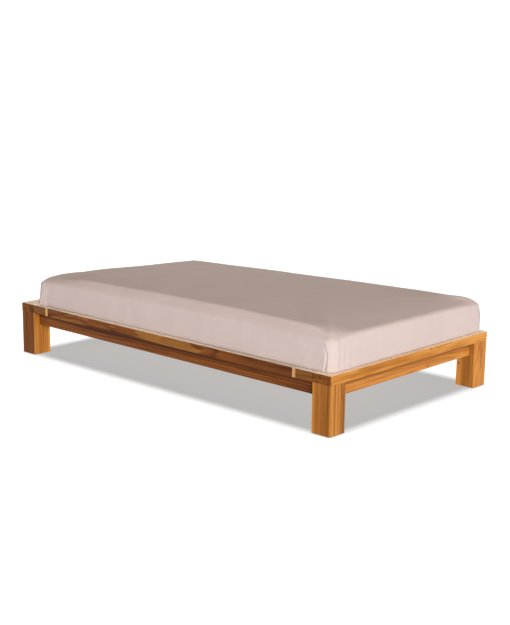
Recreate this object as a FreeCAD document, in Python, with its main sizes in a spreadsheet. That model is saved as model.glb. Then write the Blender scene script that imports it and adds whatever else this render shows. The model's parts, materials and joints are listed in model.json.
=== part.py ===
import FreeCAD, Part
import math
import os
import re

# Wooden single bed, built as loose pieces: four legs, boards on top of the legs, set-back aprons,
# slats on ledgers, and a mattress in its fitted sheet.
# X runs along the bed (+X is the foot end), Y across it, Z up.
# The origin is on the floor under the middle of the bed.  All sizes are in millimetres.

doc = FreeCAD.newDocument("bed_frame")
sizes = doc.addObject("Spreadsheet::Sheet", "sizes")

SIZES = {
    "overall": {
        "frame_length": 1960,
        "frame_width": 1110,
        "frame_height": 250,
    },
    "legs and glides": {
        "leg_side": 95,
        "leg_ease": 4,
        "glide_side": 80,
        "glide_thickness": 2,
    },
    "top boards": {
        "rail_width": 95,
        "rail_thickness": 40,
        "rail_ease": 1.5,
        "stub_length": 88,
        "key_length": 17,
    },
    "aprons": {
        "apron_height": 61,
        "apron_thickness": 28,
        "apron_ease": 1.5,
        "side_apron_recess": 33,
        "end_apron_recess": 28,
        "tenon_thickness": 12,
        "tenon_length": 30,
        "tenon_shoulder": 10,
        "tenon_clearance": 0.2,
        "tenon_end_gap": 2,
    },
    "slats and ledgers": {
        "slat_count": 13,
        "slat_width": 70,
        "slat_thickness": 18,
        "slat_ease": 1.5,
        "slat_end_gap": 1,
        "first_slat_gap": 20,
        "ledger_width": 30,
        "ledger_height": 40,
        "ledger_end_gap": 1,
    },
    "middle beam and foot": {
        "beam_width": 45,
        "beam_height": 70,
        "beam_end_gap": 2,
        "foot_side": 60,
        "foot_ease": 2,
        "stud_diameter": 8,
        "stud_length": 70,
    },
    "beam hangers": {
        "hanger_steel": 2.5,
        "hanger_depth": 36,
        "hanger_rise": 40,
        "hanger_ear": 25,
    },
    "dowels": {
        "leg_dowel_diameter": 12,
        "leg_dowel_length": 58,
        "leg_dowel_near": 20,
        "leg_dowel_far": 55,
        "rail_dowel_diameter": 10,
        "rail_dowel_length": 58,
        "rail_dowel_outer": 32,
        "rail_dowel_inner": 60,
        "key_dowel_bite": 29,
        "dowel_end_gap": 1,
    },
    "steel brackets": {
        "bracket_steel": 3,
        "bracket_apron_flange": 60,
        "bracket_leg_margin": 2,
        "bracket_margin": 8,
        "angle_steel": 2,
        "angle_flange": 25,
        "angle_width": 20,
        "side_angle_pitch": 420,
        "end_angle_pitch": 420,
    },
    "bolts, inserts and screws": {
        "bolt_diameter": 6,
        "bolt_length": 16,
        "bolt_head_diameter": 10,
        "bolt_head_height": 4,
        "bolt_pitch": 22,
        "insert_diameter": 10,
        "insert_length": 15,
        "screw_diameter": 4,
        "screw_head_diameter": 8,
        "screw_head_height": 2.5,
        "pan_head_height": 2,
        "slat_screw_length": 36,
        "ledger_screw_length": 48,
        "bracket_screw_length": 20,
        "ledger_screw_inset": 20,
        "hole_clearance": 0.05,
        "steel_hole_clearance": 0.3,
    },
    "mattress and sheet": {
        "mattress_margin": 30,
        "mattress_height": 160,
        "mattress_corner": 60,
        "mattress_edge": 35,
        "fabric_thickness": 1.2,
        "fabric_clearance": 0.3,
        "rest_clearance": 0.3,
        "hem_turn_in": 110,
        "hem_corner": 60,
        "elastic_width": 8,
    },
}

for row, (alias, value) in enumerate(
        [pair for group in SIZES.values() for pair in group.items()], start=1):
    sizes.set(f"A{row}", alias)
    sizes.set(f"B{row}", str(value))
    sizes.setAlias(f"B{row}", alias)
doc.recompute()

ALIASES = [alias for group in SIZES.values() for alias in group]
ALIAS_PATTERN = re.compile(r"\b(" + "|".join(ALIASES) + r")\b")
SIDES = {"right": -1, "left": 1}
ENDS = {"head": -1, "foot": 1}
TURNS = {
    "+x": FreeCAD.Rotation(FreeCAD.Vector(0, 1, 0), 90),
    "-x": FreeCAD.Rotation(FreeCAD.Vector(0, 1, 0), -90),
    "+y": FreeCAD.Rotation(FreeCAD.Vector(1, 0, 0), -90),
    "-y": FreeCAD.Rotation(FreeCAD.Vector(1, 0, 0), 90),
    "+z": FreeCAD.Rotation(),
    "-z": FreeCAD.Rotation(FreeCAD.Vector(1, 0, 0), 180),
}

# Places that several pieces share, as expressions of the sizes.
HALF_LENGTH = "(frame_length / 2)"
HALF_WIDTH = "(frame_width / 2)"
RAIL_BOTTOM = "(frame_height - rail_thickness)"
RAIL_MIDDLE = "(frame_height - rail_thickness / 2)"
OPENING_X = "(frame_length / 2 - rail_width)"
OPENING_Y = "(frame_width / 2 - rail_width)"
LEG_INNER_X = "(frame_length / 2 - leg_side)"
LEG_INNER_Y = "(frame_width / 2 - leg_side)"
APRON_BOTTOM = "(frame_height - rail_thickness - apron_height)"
SIDE_APRON_INNER = "(frame_width / 2 - side_apron_recess - apron_thickness)"
END_APRON_INNER = "(frame_length / 2 - end_apron_recess - apron_thickness)"
SLAT_BOTTOM = "(frame_height - slat_thickness)"
LEDGER_MIDDLE_Y = "(frame_width / 2 - rail_width - ledger_width / 2)"
LEDGER_SCREW_Z = "(frame_height - (rail_thickness + slat_thickness) / 2)"
BRACKET_BOTTOM = "(frame_height - rail_thickness - apron_height + bracket_margin)"
BRACKET_MIDDLE = "(frame_height - rail_thickness - apron_height / 2)"
BRACKET_HEIGHT = "(apron_height - 2 * bracket_margin)"
BRACKET_LEG_FLANGE = "(leg_side - side_apron_recess - apron_thickness - bracket_leg_margin)"
LEG_JOINT_DEPTH = "(leg_side + bracket_steel + bolt_head_height)"
LEDGER_END_X = f"(frame_length / 2 - max(rail_width; {LEG_JOINT_DEPTH}) - ledger_end_gap)"
ANGLE_HOLE = "(angle_flange * 0.6)"
ANGLE_HOLE_Z = f"({RAIL_BOTTOM} - {ANGLE_HOLE})"
WOOD_SCREW_HOLE = "screw_diameter + 2 * hole_clearance"
STEEL_SCREW_HOLE = "screw_diameter + 2 * steel_hole_clearance"
BRACKET_SCREW_SHARES = (0.4, 0.8)
HANGER_SCREW_SHARES = (0.25, 0.75)
FIRST_SLAT_X = "(frame_length / 2 - rail_width - first_slat_gap - slat_width / 2)"
SLAT_PITCH = f"(2 * {FIRST_SLAT_X} / (slat_count - 1))"
KEY_OUTER_X = "(frame_length / 2 - rail_width - stub_length)"
SIDE_RAIL_X = "(frame_length / 2 - rail_width - stub_length - key_length)"


def expression(text):
    """Put the sheet's name before each size in an expression."""
    return ALIAS_PATTERN.sub(r"sizes.\1", str(text))


def value(text):
    """The number that an expression of the sizes has now."""
    number = sizes.evalExpression(expression(text))
    return float(getattr(number, "Value", number))


def bind(item, **properties):
    """Bind an object's sizes to expressions of the sheet."""
    for name, text in properties.items():
        item.setExpression(name, expression(text))


def bind_place(item, x, y, z):
    """Bind an object's place to expressions of the sheet."""
    for axis, text in zip("xyz", (x, y, z)):
        item.setExpression(f"Placement.Base.{axis}", expression(text))


def low(sign, inner, size):
    """Low end of a span that lies from inner to inner + size on one side of the middle."""
    return f"({inner})" if sign > 0 else f"(-({inner}) - ({size}))"


def signed(sign, text):
    """A place on one side of the middle."""
    return f"({text})" if sign > 0 else f"(-({text}))"


def inward(sign, axis):
    """Direction that points from one side towards the middle."""
    return ("-" if sign > 0 else "+") + axis


def outward(sign, axis):
    """Direction that points from the middle towards one side."""
    return ("+" if sign > 0 else "-") + axis


class Piece:
    """One sub-part: a body whose blank is a box, cut at places given in the bed's own frame."""

    def __init__(self, label, x, y, z, length, width, height):
        self.corner = (x, y, z)
        self.body = doc.addObject("PartDesign::Body", label)
        self.body.Label = label
        bind_place(self.body, x, y, z)
        self.last = self.body.newObject("PartDesign::AdditiveBox", f"{label}_blank")
        bind(self.last, Length=length, Width=width, Height=height)
        self.features = 0
        doc.recompute()

    def feature(self, kind, word):
        """Add a feature that builds on what the body holds so far."""
        self.features += 1
        return self.body.newObject(kind, f"{self.body.Name}_{word}_{self.features}")

    def place(self, item, x, y, z, direction="+z"):
        """Place a feature from the bed's own frame, seen from this body's corner."""
        item.Placement = FreeCAD.Placement(FreeCAD.Vector(), TURNS[direction])
        local = [f"({spot}) - ({corner})" for spot, corner in zip((x, y, z), self.corner)]
        bind_place(item, *local)

    def ease(self, radius, along="xyz", kind="Fillet"):
        """Round or chamfer every straight edge of the blank that runs along the named axes."""
        solid = self.last.Shape
        wanted = []
        for number, edge in enumerate(solid.Edges, start=1):
            way = edge.tangentAt(edge.FirstParameter)
            axis = max("xyz", key=lambda name: abs(getattr(way, name)))
            if axis in along:
                wanted.append(f"Edge{number}")
        eased = self.feature(f"PartDesign::{kind}", "ease")
        eased.Base = (self.last, wanted)
        bind(eased, **{"Radius" if kind == "Fillet" else "Size": radius})
        self.last = eased
        doc.recompute()
        return self

    def add_box(self, x, y, z, length, width, height):
        """Add a block, such as a tenon."""
        self.last = self.feature("PartDesign::AdditiveBox", "block")
        bind(self.last, Length=length, Width=width, Height=height)
        self.place(self.last, x, y, z)
        return self

    def cut_box(self, x, y, z, length, width, height):
        """Cut a square-cornered recess, such as a mortise."""
        self.last = self.feature("PartDesign::SubtractiveBox", "recess")
        bind(self.last, Length=length, Width=width, Height=height)
        self.place(self.last, x, y, z)
        return self

    def drill(self, x, y, z, direction, diameter, depth):
        """Drill a round hole from a point into the wood or steel."""
        self.last = self.feature("PartDesign::SubtractiveCylinder", "hole")
        bind(self.last, Radius=f"({diameter}) / 2", Height=depth)
        self.place(self.last, x, y, z, direction)
        return self

    def countersink(self, x, y, z, direction):
        """Cut the seat of a countersunk screw head."""
        self.last = self.feature("PartDesign::SubtractiveCone", "countersink")
        bind(self.last, Radius1="screw_head_diameter / 2 + hole_clearance",
             Radius2="screw_diameter / 2 + hole_clearance",
             Height="screw_head_height")
        self.place(self.last, x, y, z, direction)
        return self

    def repeat(self, originals, axis, length, count):
        """Repeat cut features in an even row along the body's X or Y axis."""
        doc.recompute()
        row = self.feature("PartDesign::LinearPattern", "row")
        row.Originals = originals
        line = next(item for item in self.body.Origin.OriginFeatures if item.Role == f"{axis}_Axis")
        row.Direction = (line, [""])
        bind(row, Length=length, Occurrences=count)
        self.body.Tip = row
        self.last = row
        return self


def group(label, solids):
    """A node of identical loose solids."""
    item = doc.addObject("Part::Feature", label)
    item.Label = label
    item.Shape = Part.makeCompound(solids)
    item.Placement = FreeCAD.Placement()
    return item


def pointed(profile, x, y, z, direction):
    """Stand a solid of revolution, made along +Z, at a place and in a direction."""
    solid = profile.copy()
    solid.Placement = FreeCAD.Placement(FreeCAD.Vector(value(x), value(y), value(z)), TURNS[direction])
    return solid


def dowel(diameter, length):
    """A wooden dowel with chamfered ends, standing on its end."""
    radius = value(diameter) / 2
    rod = Part.makeCylinder(radius, value(length))
    rims = [edge for edge in rod.Edges if edge.Curve.TypeId == "Part::GeomCircle"]
    return rod.makeChamfer(radius / 5, rims)


def countersunk_screw(length):
    """A flat-headed wood screw: head at z = 0, point upwards."""
    head, shank = value("screw_head_diameter") / 2, value("screw_diameter") / 2
    seat, total = value("screw_head_height"), value(length)
    tip = 2 * shank
    outline = [(0, 0), (head, 0), (shank, seat), (shank, total - tip), (0, total)]
    return revolved(outline)


def pan_screw(length):
    """A pan-headed wood screw: the head's underside at z = 0, point upwards."""
    head, shank = value("screw_head_diameter") / 2, value("screw_diameter") / 2
    total = value(length)
    rise = value("pan_head_height")
    outline = [(0, -rise), (head * 0.7, -rise), (head, -rise / 3), (head, 0), (shank, 0),
               (shank, total - 2 * shank), (0, total)]
    return revolved(outline)


def revolved(outline):
    """Turn a radius and height outline about the Z axis."""
    points = [FreeCAD.Vector(radius, 0, height) for radius, height in outline]
    face = Part.Face(Part.makePolygon(points + points[:1]))
    return face.revolve(FreeCAD.Vector(), FreeCAD.Vector(0, 0, 1), 360)


def hex_bolt():
    """A hexagon-headed bolt: the head's underside at z = 0, shank upwards."""
    across = value("bolt_head_diameter") / 2 / math.cos(math.pi / 6)
    rise = value("bolt_head_height")
    corners = [FreeCAD.Vector(across * math.cos(math.radians(60 * step)),
                              across * math.sin(math.radians(60 * step)), -rise)
               for step in range(7)]
    head = Part.Face(Part.makePolygon(corners)).extrude(FreeCAD.Vector(0, 0, rise))
    shank = Part.makeCylinder(value("bolt_diameter") / 2, value("bolt_length"))
    return head.fuse(shank).removeSplitter()


def insert():
    """A threaded sleeve, mouth at z = 0."""
    length = value("insert_length")
    sleeve = Part.makeCylinder(value("insert_diameter") / 2, length)
    bore = Part.makeCylinder(value("bolt_diameter / 2 + hole_clearance"), length)
    return sleeve.cut(bore)


# ---------------------------------------------------------------------------------------------
# Places of repeated joints.
# ---------------------------------------------------------------------------------------------

def corners():
    """Every corner of the bed, as an end's name and sign and a side's name and sign."""
    return [(end, end_sign, side, side_sign)
            for end, end_sign in ENDS.items() for side, side_sign in SIDES.items()]


def leg_dowel_places(end_sign, side_sign):
    """Two dowels across the outer corner of a leg, clear of its mortises."""
    insets = [("leg_dowel_near", "leg_dowel_far"), ("leg_dowel_far", "leg_dowel_near")]
    return [(signed(end_sign, f"{HALF_LENGTH} - {along}"), signed(side_sign, f"{HALF_WIDTH} - {across}"))
            for along, across in insets]


def rail_dowel_places(side_sign):
    """Y of the dowels in a butt joint of the side's top boards."""
    return [signed(side_sign, f"{HALF_WIDTH} - {inset}")
            for inset in ("rail_dowel_outer", "rail_dowel_inner")]


def bolt_heights():
    """Heights of the two bolts of a corner bracket."""
    return [f"{BRACKET_MIDDLE} - bolt_pitch / 2", f"{BRACKET_MIDDLE} + bolt_pitch / 2"]


def bolt_y(side_sign):
    """Y of a corner bracket's bolts, in the middle of its flange on the leg."""
    flange = f"(bracket_steel + {BRACKET_LEG_FLANGE}) / 2"
    return signed(side_sign, f"{SIDE_APRON_INNER} - {flange}")


def bracket_screw_xs(end_sign):
    """X of the two screws of a corner bracket's flange on the apron."""
    return [signed(end_sign, f"{LEG_INNER_X} - bracket_apron_flange * {share}")
            for share in BRACKET_SCREW_SHARES]


def angle_places(length_name, count):
    """Middles of a row of steel angles."""
    return [f"{length_name} * {step - (count - 1) / 2}" for step in range(count)]


SIDE_ANGLES = angle_places("side_angle_pitch", 4)
END_ANGLES = angle_places("end_angle_pitch", 2)


# ---------------------------------------------------------------------------------------------
# Wooden frame.
# ---------------------------------------------------------------------------------------------

def make_leg(end, end_sign, side, side_sign):
    """A square leg with two mortises, dowel holes in its top and holes for the threaded inserts."""
    leg = Piece(f"leg_{end}_{side}",
                low(end_sign, LEG_INNER_X, "leg_side"), low(side_sign, LEG_INNER_Y, "leg_side"),
                "glide_thickness", "leg_side", "leg_side", f"{RAIL_BOTTOM} - glide_thickness")
    leg.ease("leg_ease", "z")
    mortise_width = "tenon_thickness + 2 * tenon_clearance"
    mortise_depth = "tenon_length + tenon_end_gap"
    mortise_height = "apron_height - 2 * tenon_shoulder + 2 * tenon_clearance"
    mortise_z = f"{APRON_BOTTOM} + tenon_shoulder - tenon_clearance"
    offset = "(apron_thickness - tenon_thickness) / 2 - tenon_clearance"
    leg.cut_box(low(end_sign, LEG_INNER_X, mortise_depth),
                low(side_sign, f"{SIDE_APRON_INNER} + {offset}", mortise_width), mortise_z,
                mortise_depth, mortise_width, mortise_height)
    leg.cut_box(low(end_sign, f"{END_APRON_INNER} + {offset}", mortise_width),
                low(side_sign, LEG_INNER_Y, mortise_depth), mortise_z,
                mortise_width, mortise_depth, mortise_height)
    for x, y in leg_dowel_places(end_sign, side_sign):
        leg.drill(x, y, RAIL_BOTTOM, "-z", "leg_dowel_diameter + 2 * hole_clearance",
                  "leg_dowel_length / 2 + dowel_end_gap")
    for z in bolt_heights():
        leg.drill(signed(end_sign, LEG_INNER_X), bolt_y(side_sign), z, outward(end_sign, "x"),
                  "insert_diameter + 2 * hole_clearance", "insert_length + dowel_end_gap")
    return leg.body


def make_end_rail(end, end_sign):
    """The board across the end of the bed, laid over both legs."""
    rail = Piece(f"{end}_rail", low(end_sign, OPENING_X, "rail_width"), f"-{HALF_WIDTH}", RAIL_BOTTOM,
                 "rail_width", "frame_width", "rail_thickness")
    rail.ease("rail_ease")
    for side_sign in SIDES.values():
        for x, y in leg_dowel_places(end_sign, side_sign):
            rail.drill(x, y, RAIL_BOTTOM, "+z", "leg_dowel_diameter + 2 * hole_clearance",
                       "leg_dowel_length / 2 + dowel_end_gap")
        for y in rail_dowel_places(side_sign):
            rail.drill(signed(end_sign, OPENING_X), y, RAIL_MIDDLE, outward(end_sign, "x"),
                       "rail_dowel_diameter + 2 * hole_clearance",
                       "rail_dowel_length / 2 + dowel_end_gap")
    for y in END_ANGLES:
        rail.drill(signed(end_sign, f"{END_APRON_INNER} - {ANGLE_HOLE}"), y, RAIL_BOTTOM, "+z",
                   WOOD_SCREW_HOLE, "bracket_screw_length")
    return rail.body


def make_stub(end, end_sign, side, side_sign):
    """The short board of a side's top, between the end rail and the key."""
    stub = Piece(f"short_rail_{end}_{side}",
                 low(end_sign, KEY_OUTER_X, "stub_length"), low(side_sign, OPENING_Y, "rail_width"),
                 RAIL_BOTTOM, "stub_length", "rail_width", "rail_thickness")
    stub.ease("rail_ease", "x")
    for y in rail_dowel_places(side_sign):
        stub.drill(signed(end_sign, OPENING_X), y, RAIL_MIDDLE, inward(end_sign, "x"),
                   "rail_dowel_diameter + 2 * hole_clearance",
                   "rail_dowel_length / 2 + dowel_end_gap")
        stub.drill(signed(end_sign, KEY_OUTER_X), y, RAIL_MIDDLE, outward(end_sign, "x"),
                   "rail_dowel_diameter + 2 * hole_clearance", "key_dowel_bite + dowel_end_gap")
    stub.drill(signed(end_sign, f"{LEDGER_END_X} - ledger_screw_inset"), signed(side_sign, OPENING_Y),
               LEDGER_SCREW_Z, outward(side_sign, "y"), WOOD_SCREW_HOLE,
               "ledger_screw_length - ledger_width")
    return stub.body


def make_key(end, end_sign, side, side_sign):
    """The pale key between the short board and the long board, bored for the dowels."""
    key = Piece(f"key_{end}_{side}",
                low(end_sign, SIDE_RAIL_X, "key_length"), low(side_sign, OPENING_Y, "rail_width"),
                RAIL_BOTTOM, "key_length", "rail_width", "rail_thickness")
    key.ease("rail_ease", "x")
    for y in rail_dowel_places(side_sign):
        key.drill(signed(end_sign, KEY_OUTER_X), y, RAIL_MIDDLE, inward(end_sign, "x"),
                  "rail_dowel_diameter + 2 * hole_clearance", "key_length")
    return key.body


def make_side_rail(side, side_sign):
    """The long board of a side's top, between the two keys."""
    rail = Piece(f"{side}_side_rail", f"-{SIDE_RAIL_X}", low(side_sign, OPENING_Y, "rail_width"),
                 RAIL_BOTTOM, f"2 * {SIDE_RAIL_X}", "rail_width", "rail_thickness")
    rail.ease("rail_ease", "x")
    for end_sign in ENDS.values():
        for y in rail_dowel_places(side_sign):
            rail.drill(signed(end_sign, SIDE_RAIL_X), y, RAIL_MIDDLE, inward(end_sign, "x"),
                       "rail_dowel_diameter + 2 * hole_clearance", "key_dowel_bite + dowel_end_gap")
    for x in SIDE_ANGLES:
        rail.drill(x, signed(side_sign, f"{SIDE_APRON_INNER} - {ANGLE_HOLE}"), RAIL_BOTTOM, "+z",
                   WOOD_SCREW_HOLE, "bracket_screw_length")
    rail.drill(f"-{FIRST_SLAT_X} + {SLAT_PITCH} / 2", signed(side_sign, OPENING_Y), LEDGER_SCREW_Z,
               outward(side_sign, "y"), WOOD_SCREW_HOLE,
               "ledger_screw_length - ledger_width")
    rail.repeat([rail.last], "X", f"2 * {FIRST_SLAT_X} - {SLAT_PITCH}", "slat_count - 1")
    return rail.body


def make_side_apron(side, side_sign):
    """A long apron with a tenon at each end."""
    y = low(side_sign, SIDE_APRON_INNER, "apron_thickness")
    apron = Piece(f"{side}_side_apron", f"-{LEG_INNER_X}", y, APRON_BOTTOM,
                  f"2 * {LEG_INNER_X}", "apron_thickness", "apron_height")
    apron.ease("apron_ease", "x")
    tenon_y = low(side_sign, f"{SIDE_APRON_INNER} + (apron_thickness - tenon_thickness) / 2",
                  "tenon_thickness")
    for end_sign in ENDS.values():
        apron.add_box(low(end_sign, LEG_INNER_X, "tenon_length"), tenon_y,
                      f"{APRON_BOTTOM} + tenon_shoulder",
                      "tenon_length", "tenon_thickness", "apron_height - 2 * tenon_shoulder")
        for x in bracket_screw_xs(end_sign):
            apron.drill(x, signed(side_sign, SIDE_APRON_INNER), BRACKET_MIDDLE, outward(side_sign, "y"),
                        WOOD_SCREW_HOLE, "bracket_screw_length - bracket_steel")
    for x in SIDE_ANGLES:
        apron.drill(x, signed(side_sign, SIDE_APRON_INNER), ANGLE_HOLE_Z,
                    outward(side_sign, "y"), WOOD_SCREW_HOLE,
                    "bracket_screw_length - angle_steel")
    return apron.body


def make_end_apron(end, end_sign):
    """A short apron with a tenon at each end."""
    x = low(end_sign, END_APRON_INNER, "apron_thickness")
    apron = Piece(f"{end}_apron", x, f"-{LEG_INNER_Y}", APRON_BOTTOM,
                  "apron_thickness", f"2 * {LEG_INNER_Y}", "apron_height")
    apron.ease("apron_ease", "y")
    tenon_x = low(end_sign, f"{END_APRON_INNER} + (apron_thickness - tenon_thickness) / 2",
                  "tenon_thickness")
    for side_sign in SIDES.values():
        apron.add_box(tenon_x, low(side_sign, LEG_INNER_Y, "tenon_length"),
                      f"{APRON_BOTTOM} + tenon_shoulder",
                      "tenon_thickness", "tenon_length", "apron_height - 2 * tenon_shoulder")
    for y in END_ANGLES:
        apron.drill(signed(end_sign, END_APRON_INNER), y, ANGLE_HOLE_Z,
                    outward(end_sign, "x"), WOOD_SCREW_HOLE,
                    "bracket_screw_length - angle_steel")
    for y, z in hanger_screw_places():
        apron.drill(signed(end_sign, END_APRON_INNER), y, z, outward(end_sign, "x"),
                    WOOD_SCREW_HOLE, "bracket_screw_length - hanger_steel")
    return apron.body


def make_ledger(side, side_sign):
    """The strip inside a side's top boards that the slats rest on."""
    ledger = Piece(f"{side}_ledger", f"-{LEDGER_END_X}",
                   low(side_sign, f"{OPENING_Y} - ledger_width", "ledger_width"),
                   f"{SLAT_BOTTOM} - ledger_height", f"2 * {LEDGER_END_X}", "ledger_width",
                   "ledger_height")
    ledger.ease("rail_ease", "x")
    face_y = signed(side_sign, f"{OPENING_Y} - ledger_width")
    away = outward(side_sign, "y")
    ledger.drill(f"-{FIRST_SLAT_X} + {SLAT_PITCH} / 2", face_y, LEDGER_SCREW_Z, away,
                 WOOD_SCREW_HOLE, "ledger_width")
    hole = ledger.last
    ledger.countersink(f"-{FIRST_SLAT_X} + {SLAT_PITCH} / 2", face_y, LEDGER_SCREW_Z, away)
    ledger.repeat([hole, ledger.last], "X", f"2 * {FIRST_SLAT_X} - {SLAT_PITCH}", "slat_count - 1")
    for end_sign in ENDS.values():
        x = signed(end_sign, f"{LEDGER_END_X} - ledger_screw_inset")
        ledger.drill(x, face_y, LEDGER_SCREW_Z, away, WOOD_SCREW_HOLE,
                     "ledger_width")
        ledger.countersink(x, face_y, LEDGER_SCREW_Z, away)
    ledger.drill(f"-{FIRST_SLAT_X}", signed(side_sign, LEDGER_MIDDLE_Y), SLAT_BOTTOM, "-z",
                 WOOD_SCREW_HOLE, "slat_screw_length - slat_thickness")
    ledger.repeat([ledger.last], "X", f"2 * {FIRST_SLAT_X}", "slat_count")
    return ledger.body


def slat_x(number):
    """X of the middle of a slat."""
    return f"(-{FIRST_SLAT_X} + {number} * {SLAT_PITCH})"


def make_slat(number):
    """A loose slat with a countersunk hole at each end."""
    slat = Piece(f"slat_{number + 1:02d}", f"{slat_x(number)} - slat_width / 2",
                 f"-{OPENING_Y} + slat_end_gap", SLAT_BOTTOM,
                 "slat_width", f"2 * ({OPENING_Y} - slat_end_gap)", "slat_thickness")
    slat.ease("slat_ease", "y")
    for side_sign in SIDES.values():
        y = signed(side_sign, LEDGER_MIDDLE_Y)
        slat.drill(slat_x(number), y, "frame_height", "-z", WOOD_SCREW_HOLE,
                   "slat_thickness")
        slat.countersink(slat_x(number), y, "frame_height", "-z")
    return slat.body


# ---------------------------------------------------------------------------------------------
# Middle beam, its hangers and its foot.
# ---------------------------------------------------------------------------------------------

BEAM_BOTTOM = f"({SLAT_BOTTOM} - beam_height)"
BEAM_END_X = f"({END_APRON_INNER} - hanger_steel - beam_end_gap)"
HANGER_BOTTOM = f"({BEAM_BOTTOM} - hanger_steel)"


def hanger_screw_places():
    """Y and Z of the four screws in the ears of a beam hanger."""
    across = "(beam_width / 2 + hanger_steel + hanger_ear / 2)"
    return [(signed(side, across), f"{HANGER_BOTTOM} + (hanger_steel + hanger_rise) * {share}")
            for side in (-1, 1) for share in HANGER_SCREW_SHARES]


def make_beam():
    """The beam under the middle of the slats, notched under the end rails."""
    beam = Piece("middle_beam", f"-{BEAM_END_X}", "-beam_width / 2", BEAM_BOTTOM,
                 f"2 * {BEAM_END_X}", "beam_width", "beam_height")
    beam.ease("rail_ease", "x")
    notch_length = f"{BEAM_END_X} - {OPENING_X} + beam_end_gap"
    for end_sign in ENDS.values():
        beam.cut_box(low(end_sign, f"{OPENING_X} - beam_end_gap", notch_length), "-beam_width / 2",
                     f"{RAIL_BOTTOM} - beam_end_gap", notch_length, "beam_width",
                     "rail_thickness - slat_thickness + beam_end_gap")
    beam.drill("0", "0", BEAM_BOTTOM, "+z", "stud_diameter + 2 * hole_clearance",
               "stud_length / 2 + dowel_end_gap")
    return beam.body


def make_hanger(end, end_sign):
    """A folded steel shoe that holds one end of the beam."""
    base_y = "(beam_width / 2 + hanger_steel)"
    hanger = Piece(f"beam_hanger_{end}",
                   low(end_sign, f"{END_APRON_INNER} - hanger_depth", "hanger_depth"), f"-{base_y}",
                   HANGER_BOTTOM, "hanger_depth", f"2 * {base_y}", "hanger_steel")
    for side_sign in SIDES.values():
        hanger.add_box(low(end_sign, f"{END_APRON_INNER} - hanger_depth", "hanger_depth"),
                       low(side_sign, "beam_width / 2", "hanger_steel"), HANGER_BOTTOM,
                       "hanger_depth", "hanger_steel", "hanger_steel + hanger_rise")
        hanger.add_box(low(end_sign, f"{END_APRON_INNER} - hanger_steel", "hanger_steel"),
                       low(side_sign, "beam_width / 2", "hanger_steel + hanger_ear"), HANGER_BOTTOM,
                       "hanger_steel", "hanger_steel + hanger_ear", "hanger_steel + hanger_rise")
    for y, z in hanger_screw_places():
        hanger.drill(signed(end_sign, f"{END_APRON_INNER} - hanger_steel"), y, z,
                     outward(end_sign, "x"), WOOD_SCREW_HOLE, "hanger_steel")
    return hanger.body


def make_foot():
    """The square foot under the middle of the beam."""
    foot = Piece("middle_foot", "-foot_side / 2", "-foot_side / 2", "glide_thickness",
                 "foot_side", "foot_side", f"{BEAM_BOTTOM} - glide_thickness")
    foot.ease("foot_ease", "z")
    foot.drill("0", "0", BEAM_BOTTOM, "-z", "stud_diameter + 2 * hole_clearance",
               "stud_length / 2 + dowel_end_gap")
    return foot.body


# ---------------------------------------------------------------------------------------------
# Steel corner brackets and angles, one node for each kind.
# ---------------------------------------------------------------------------------------------

def plate(x, y, z, length, width, height):
    """A flat plate at a place, from expressions of the sizes."""
    return Part.makeBox(value(length), value(width), value(height),
                        FreeCAD.Vector(value(x), value(y), value(z)))


def bore(x, y, z, direction, diameter, depth):
    """The tool for a round hole."""
    tool = Part.makeCylinder(value(diameter) / 2, value(depth))
    return pointed(tool, x, y, z, direction)


def corner_bracket(end_sign, side_sign):
    """An angle plate: one flange on the long apron, one on the leg."""
    apron_flange = plate(low(end_sign, f"{LEG_INNER_X} - bracket_apron_flange", "bracket_apron_flange"),
                         low(side_sign, f"{SIDE_APRON_INNER} - bracket_steel", "bracket_steel"),
                         BRACKET_BOTTOM, "bracket_apron_flange", "bracket_steel", BRACKET_HEIGHT)
    leg_flange = plate(low(end_sign, f"{LEG_INNER_X} - bracket_steel", "bracket_steel"),
                       low(side_sign, f"{SIDE_APRON_INNER} - {BRACKET_LEG_FLANGE}", BRACKET_LEG_FLANGE),
                       BRACKET_BOTTOM, "bracket_steel", BRACKET_LEG_FLANGE, BRACKET_HEIGHT)
    bracket = apron_flange.fuse(leg_flange).removeSplitter()
    for z in bolt_heights():
        bracket = bracket.cut(bore(signed(end_sign, f"{LEG_INNER_X} - bracket_steel"),
                                   bolt_y(side_sign), z, outward(end_sign, "x"),
                                   "bolt_diameter + 2 * steel_hole_clearance", "bracket_steel"))
    for x in bracket_screw_xs(end_sign):
        bracket = bracket.cut(bore(x, signed(side_sign, f"{SIDE_APRON_INNER} - bracket_steel"),
                                   BRACKET_MIDDLE, outward(side_sign, "y"),
                                   STEEL_SCREW_HOLE, "bracket_steel"))
    return bracket


def side_angle(x, side_sign):
    """A small angle between a long apron and the top board above it."""
    start = f"({x}) - angle_width / 2"
    upright = plate(start, low(side_sign, f"{SIDE_APRON_INNER} - angle_steel", "angle_steel"),
                    f"{RAIL_BOTTOM} - angle_flange", "angle_width", "angle_steel", "angle_flange")
    flat = plate(start, low(side_sign, f"{SIDE_APRON_INNER} - angle_flange", "angle_flange"),
                 f"{RAIL_BOTTOM} - angle_steel", "angle_width", "angle_flange", "angle_steel")
    angle = upright.fuse(flat).removeSplitter()
    angle = angle.cut(bore(x, signed(side_sign, f"{SIDE_APRON_INNER} - angle_steel"),
                           ANGLE_HOLE_Z, outward(side_sign, "y"),
                           STEEL_SCREW_HOLE, "angle_steel"))
    return angle.cut(bore(x, signed(side_sign, f"{SIDE_APRON_INNER} - {ANGLE_HOLE}"),
                          f"{RAIL_BOTTOM} - angle_steel", "+z", STEEL_SCREW_HOLE, "angle_steel"))


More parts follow.
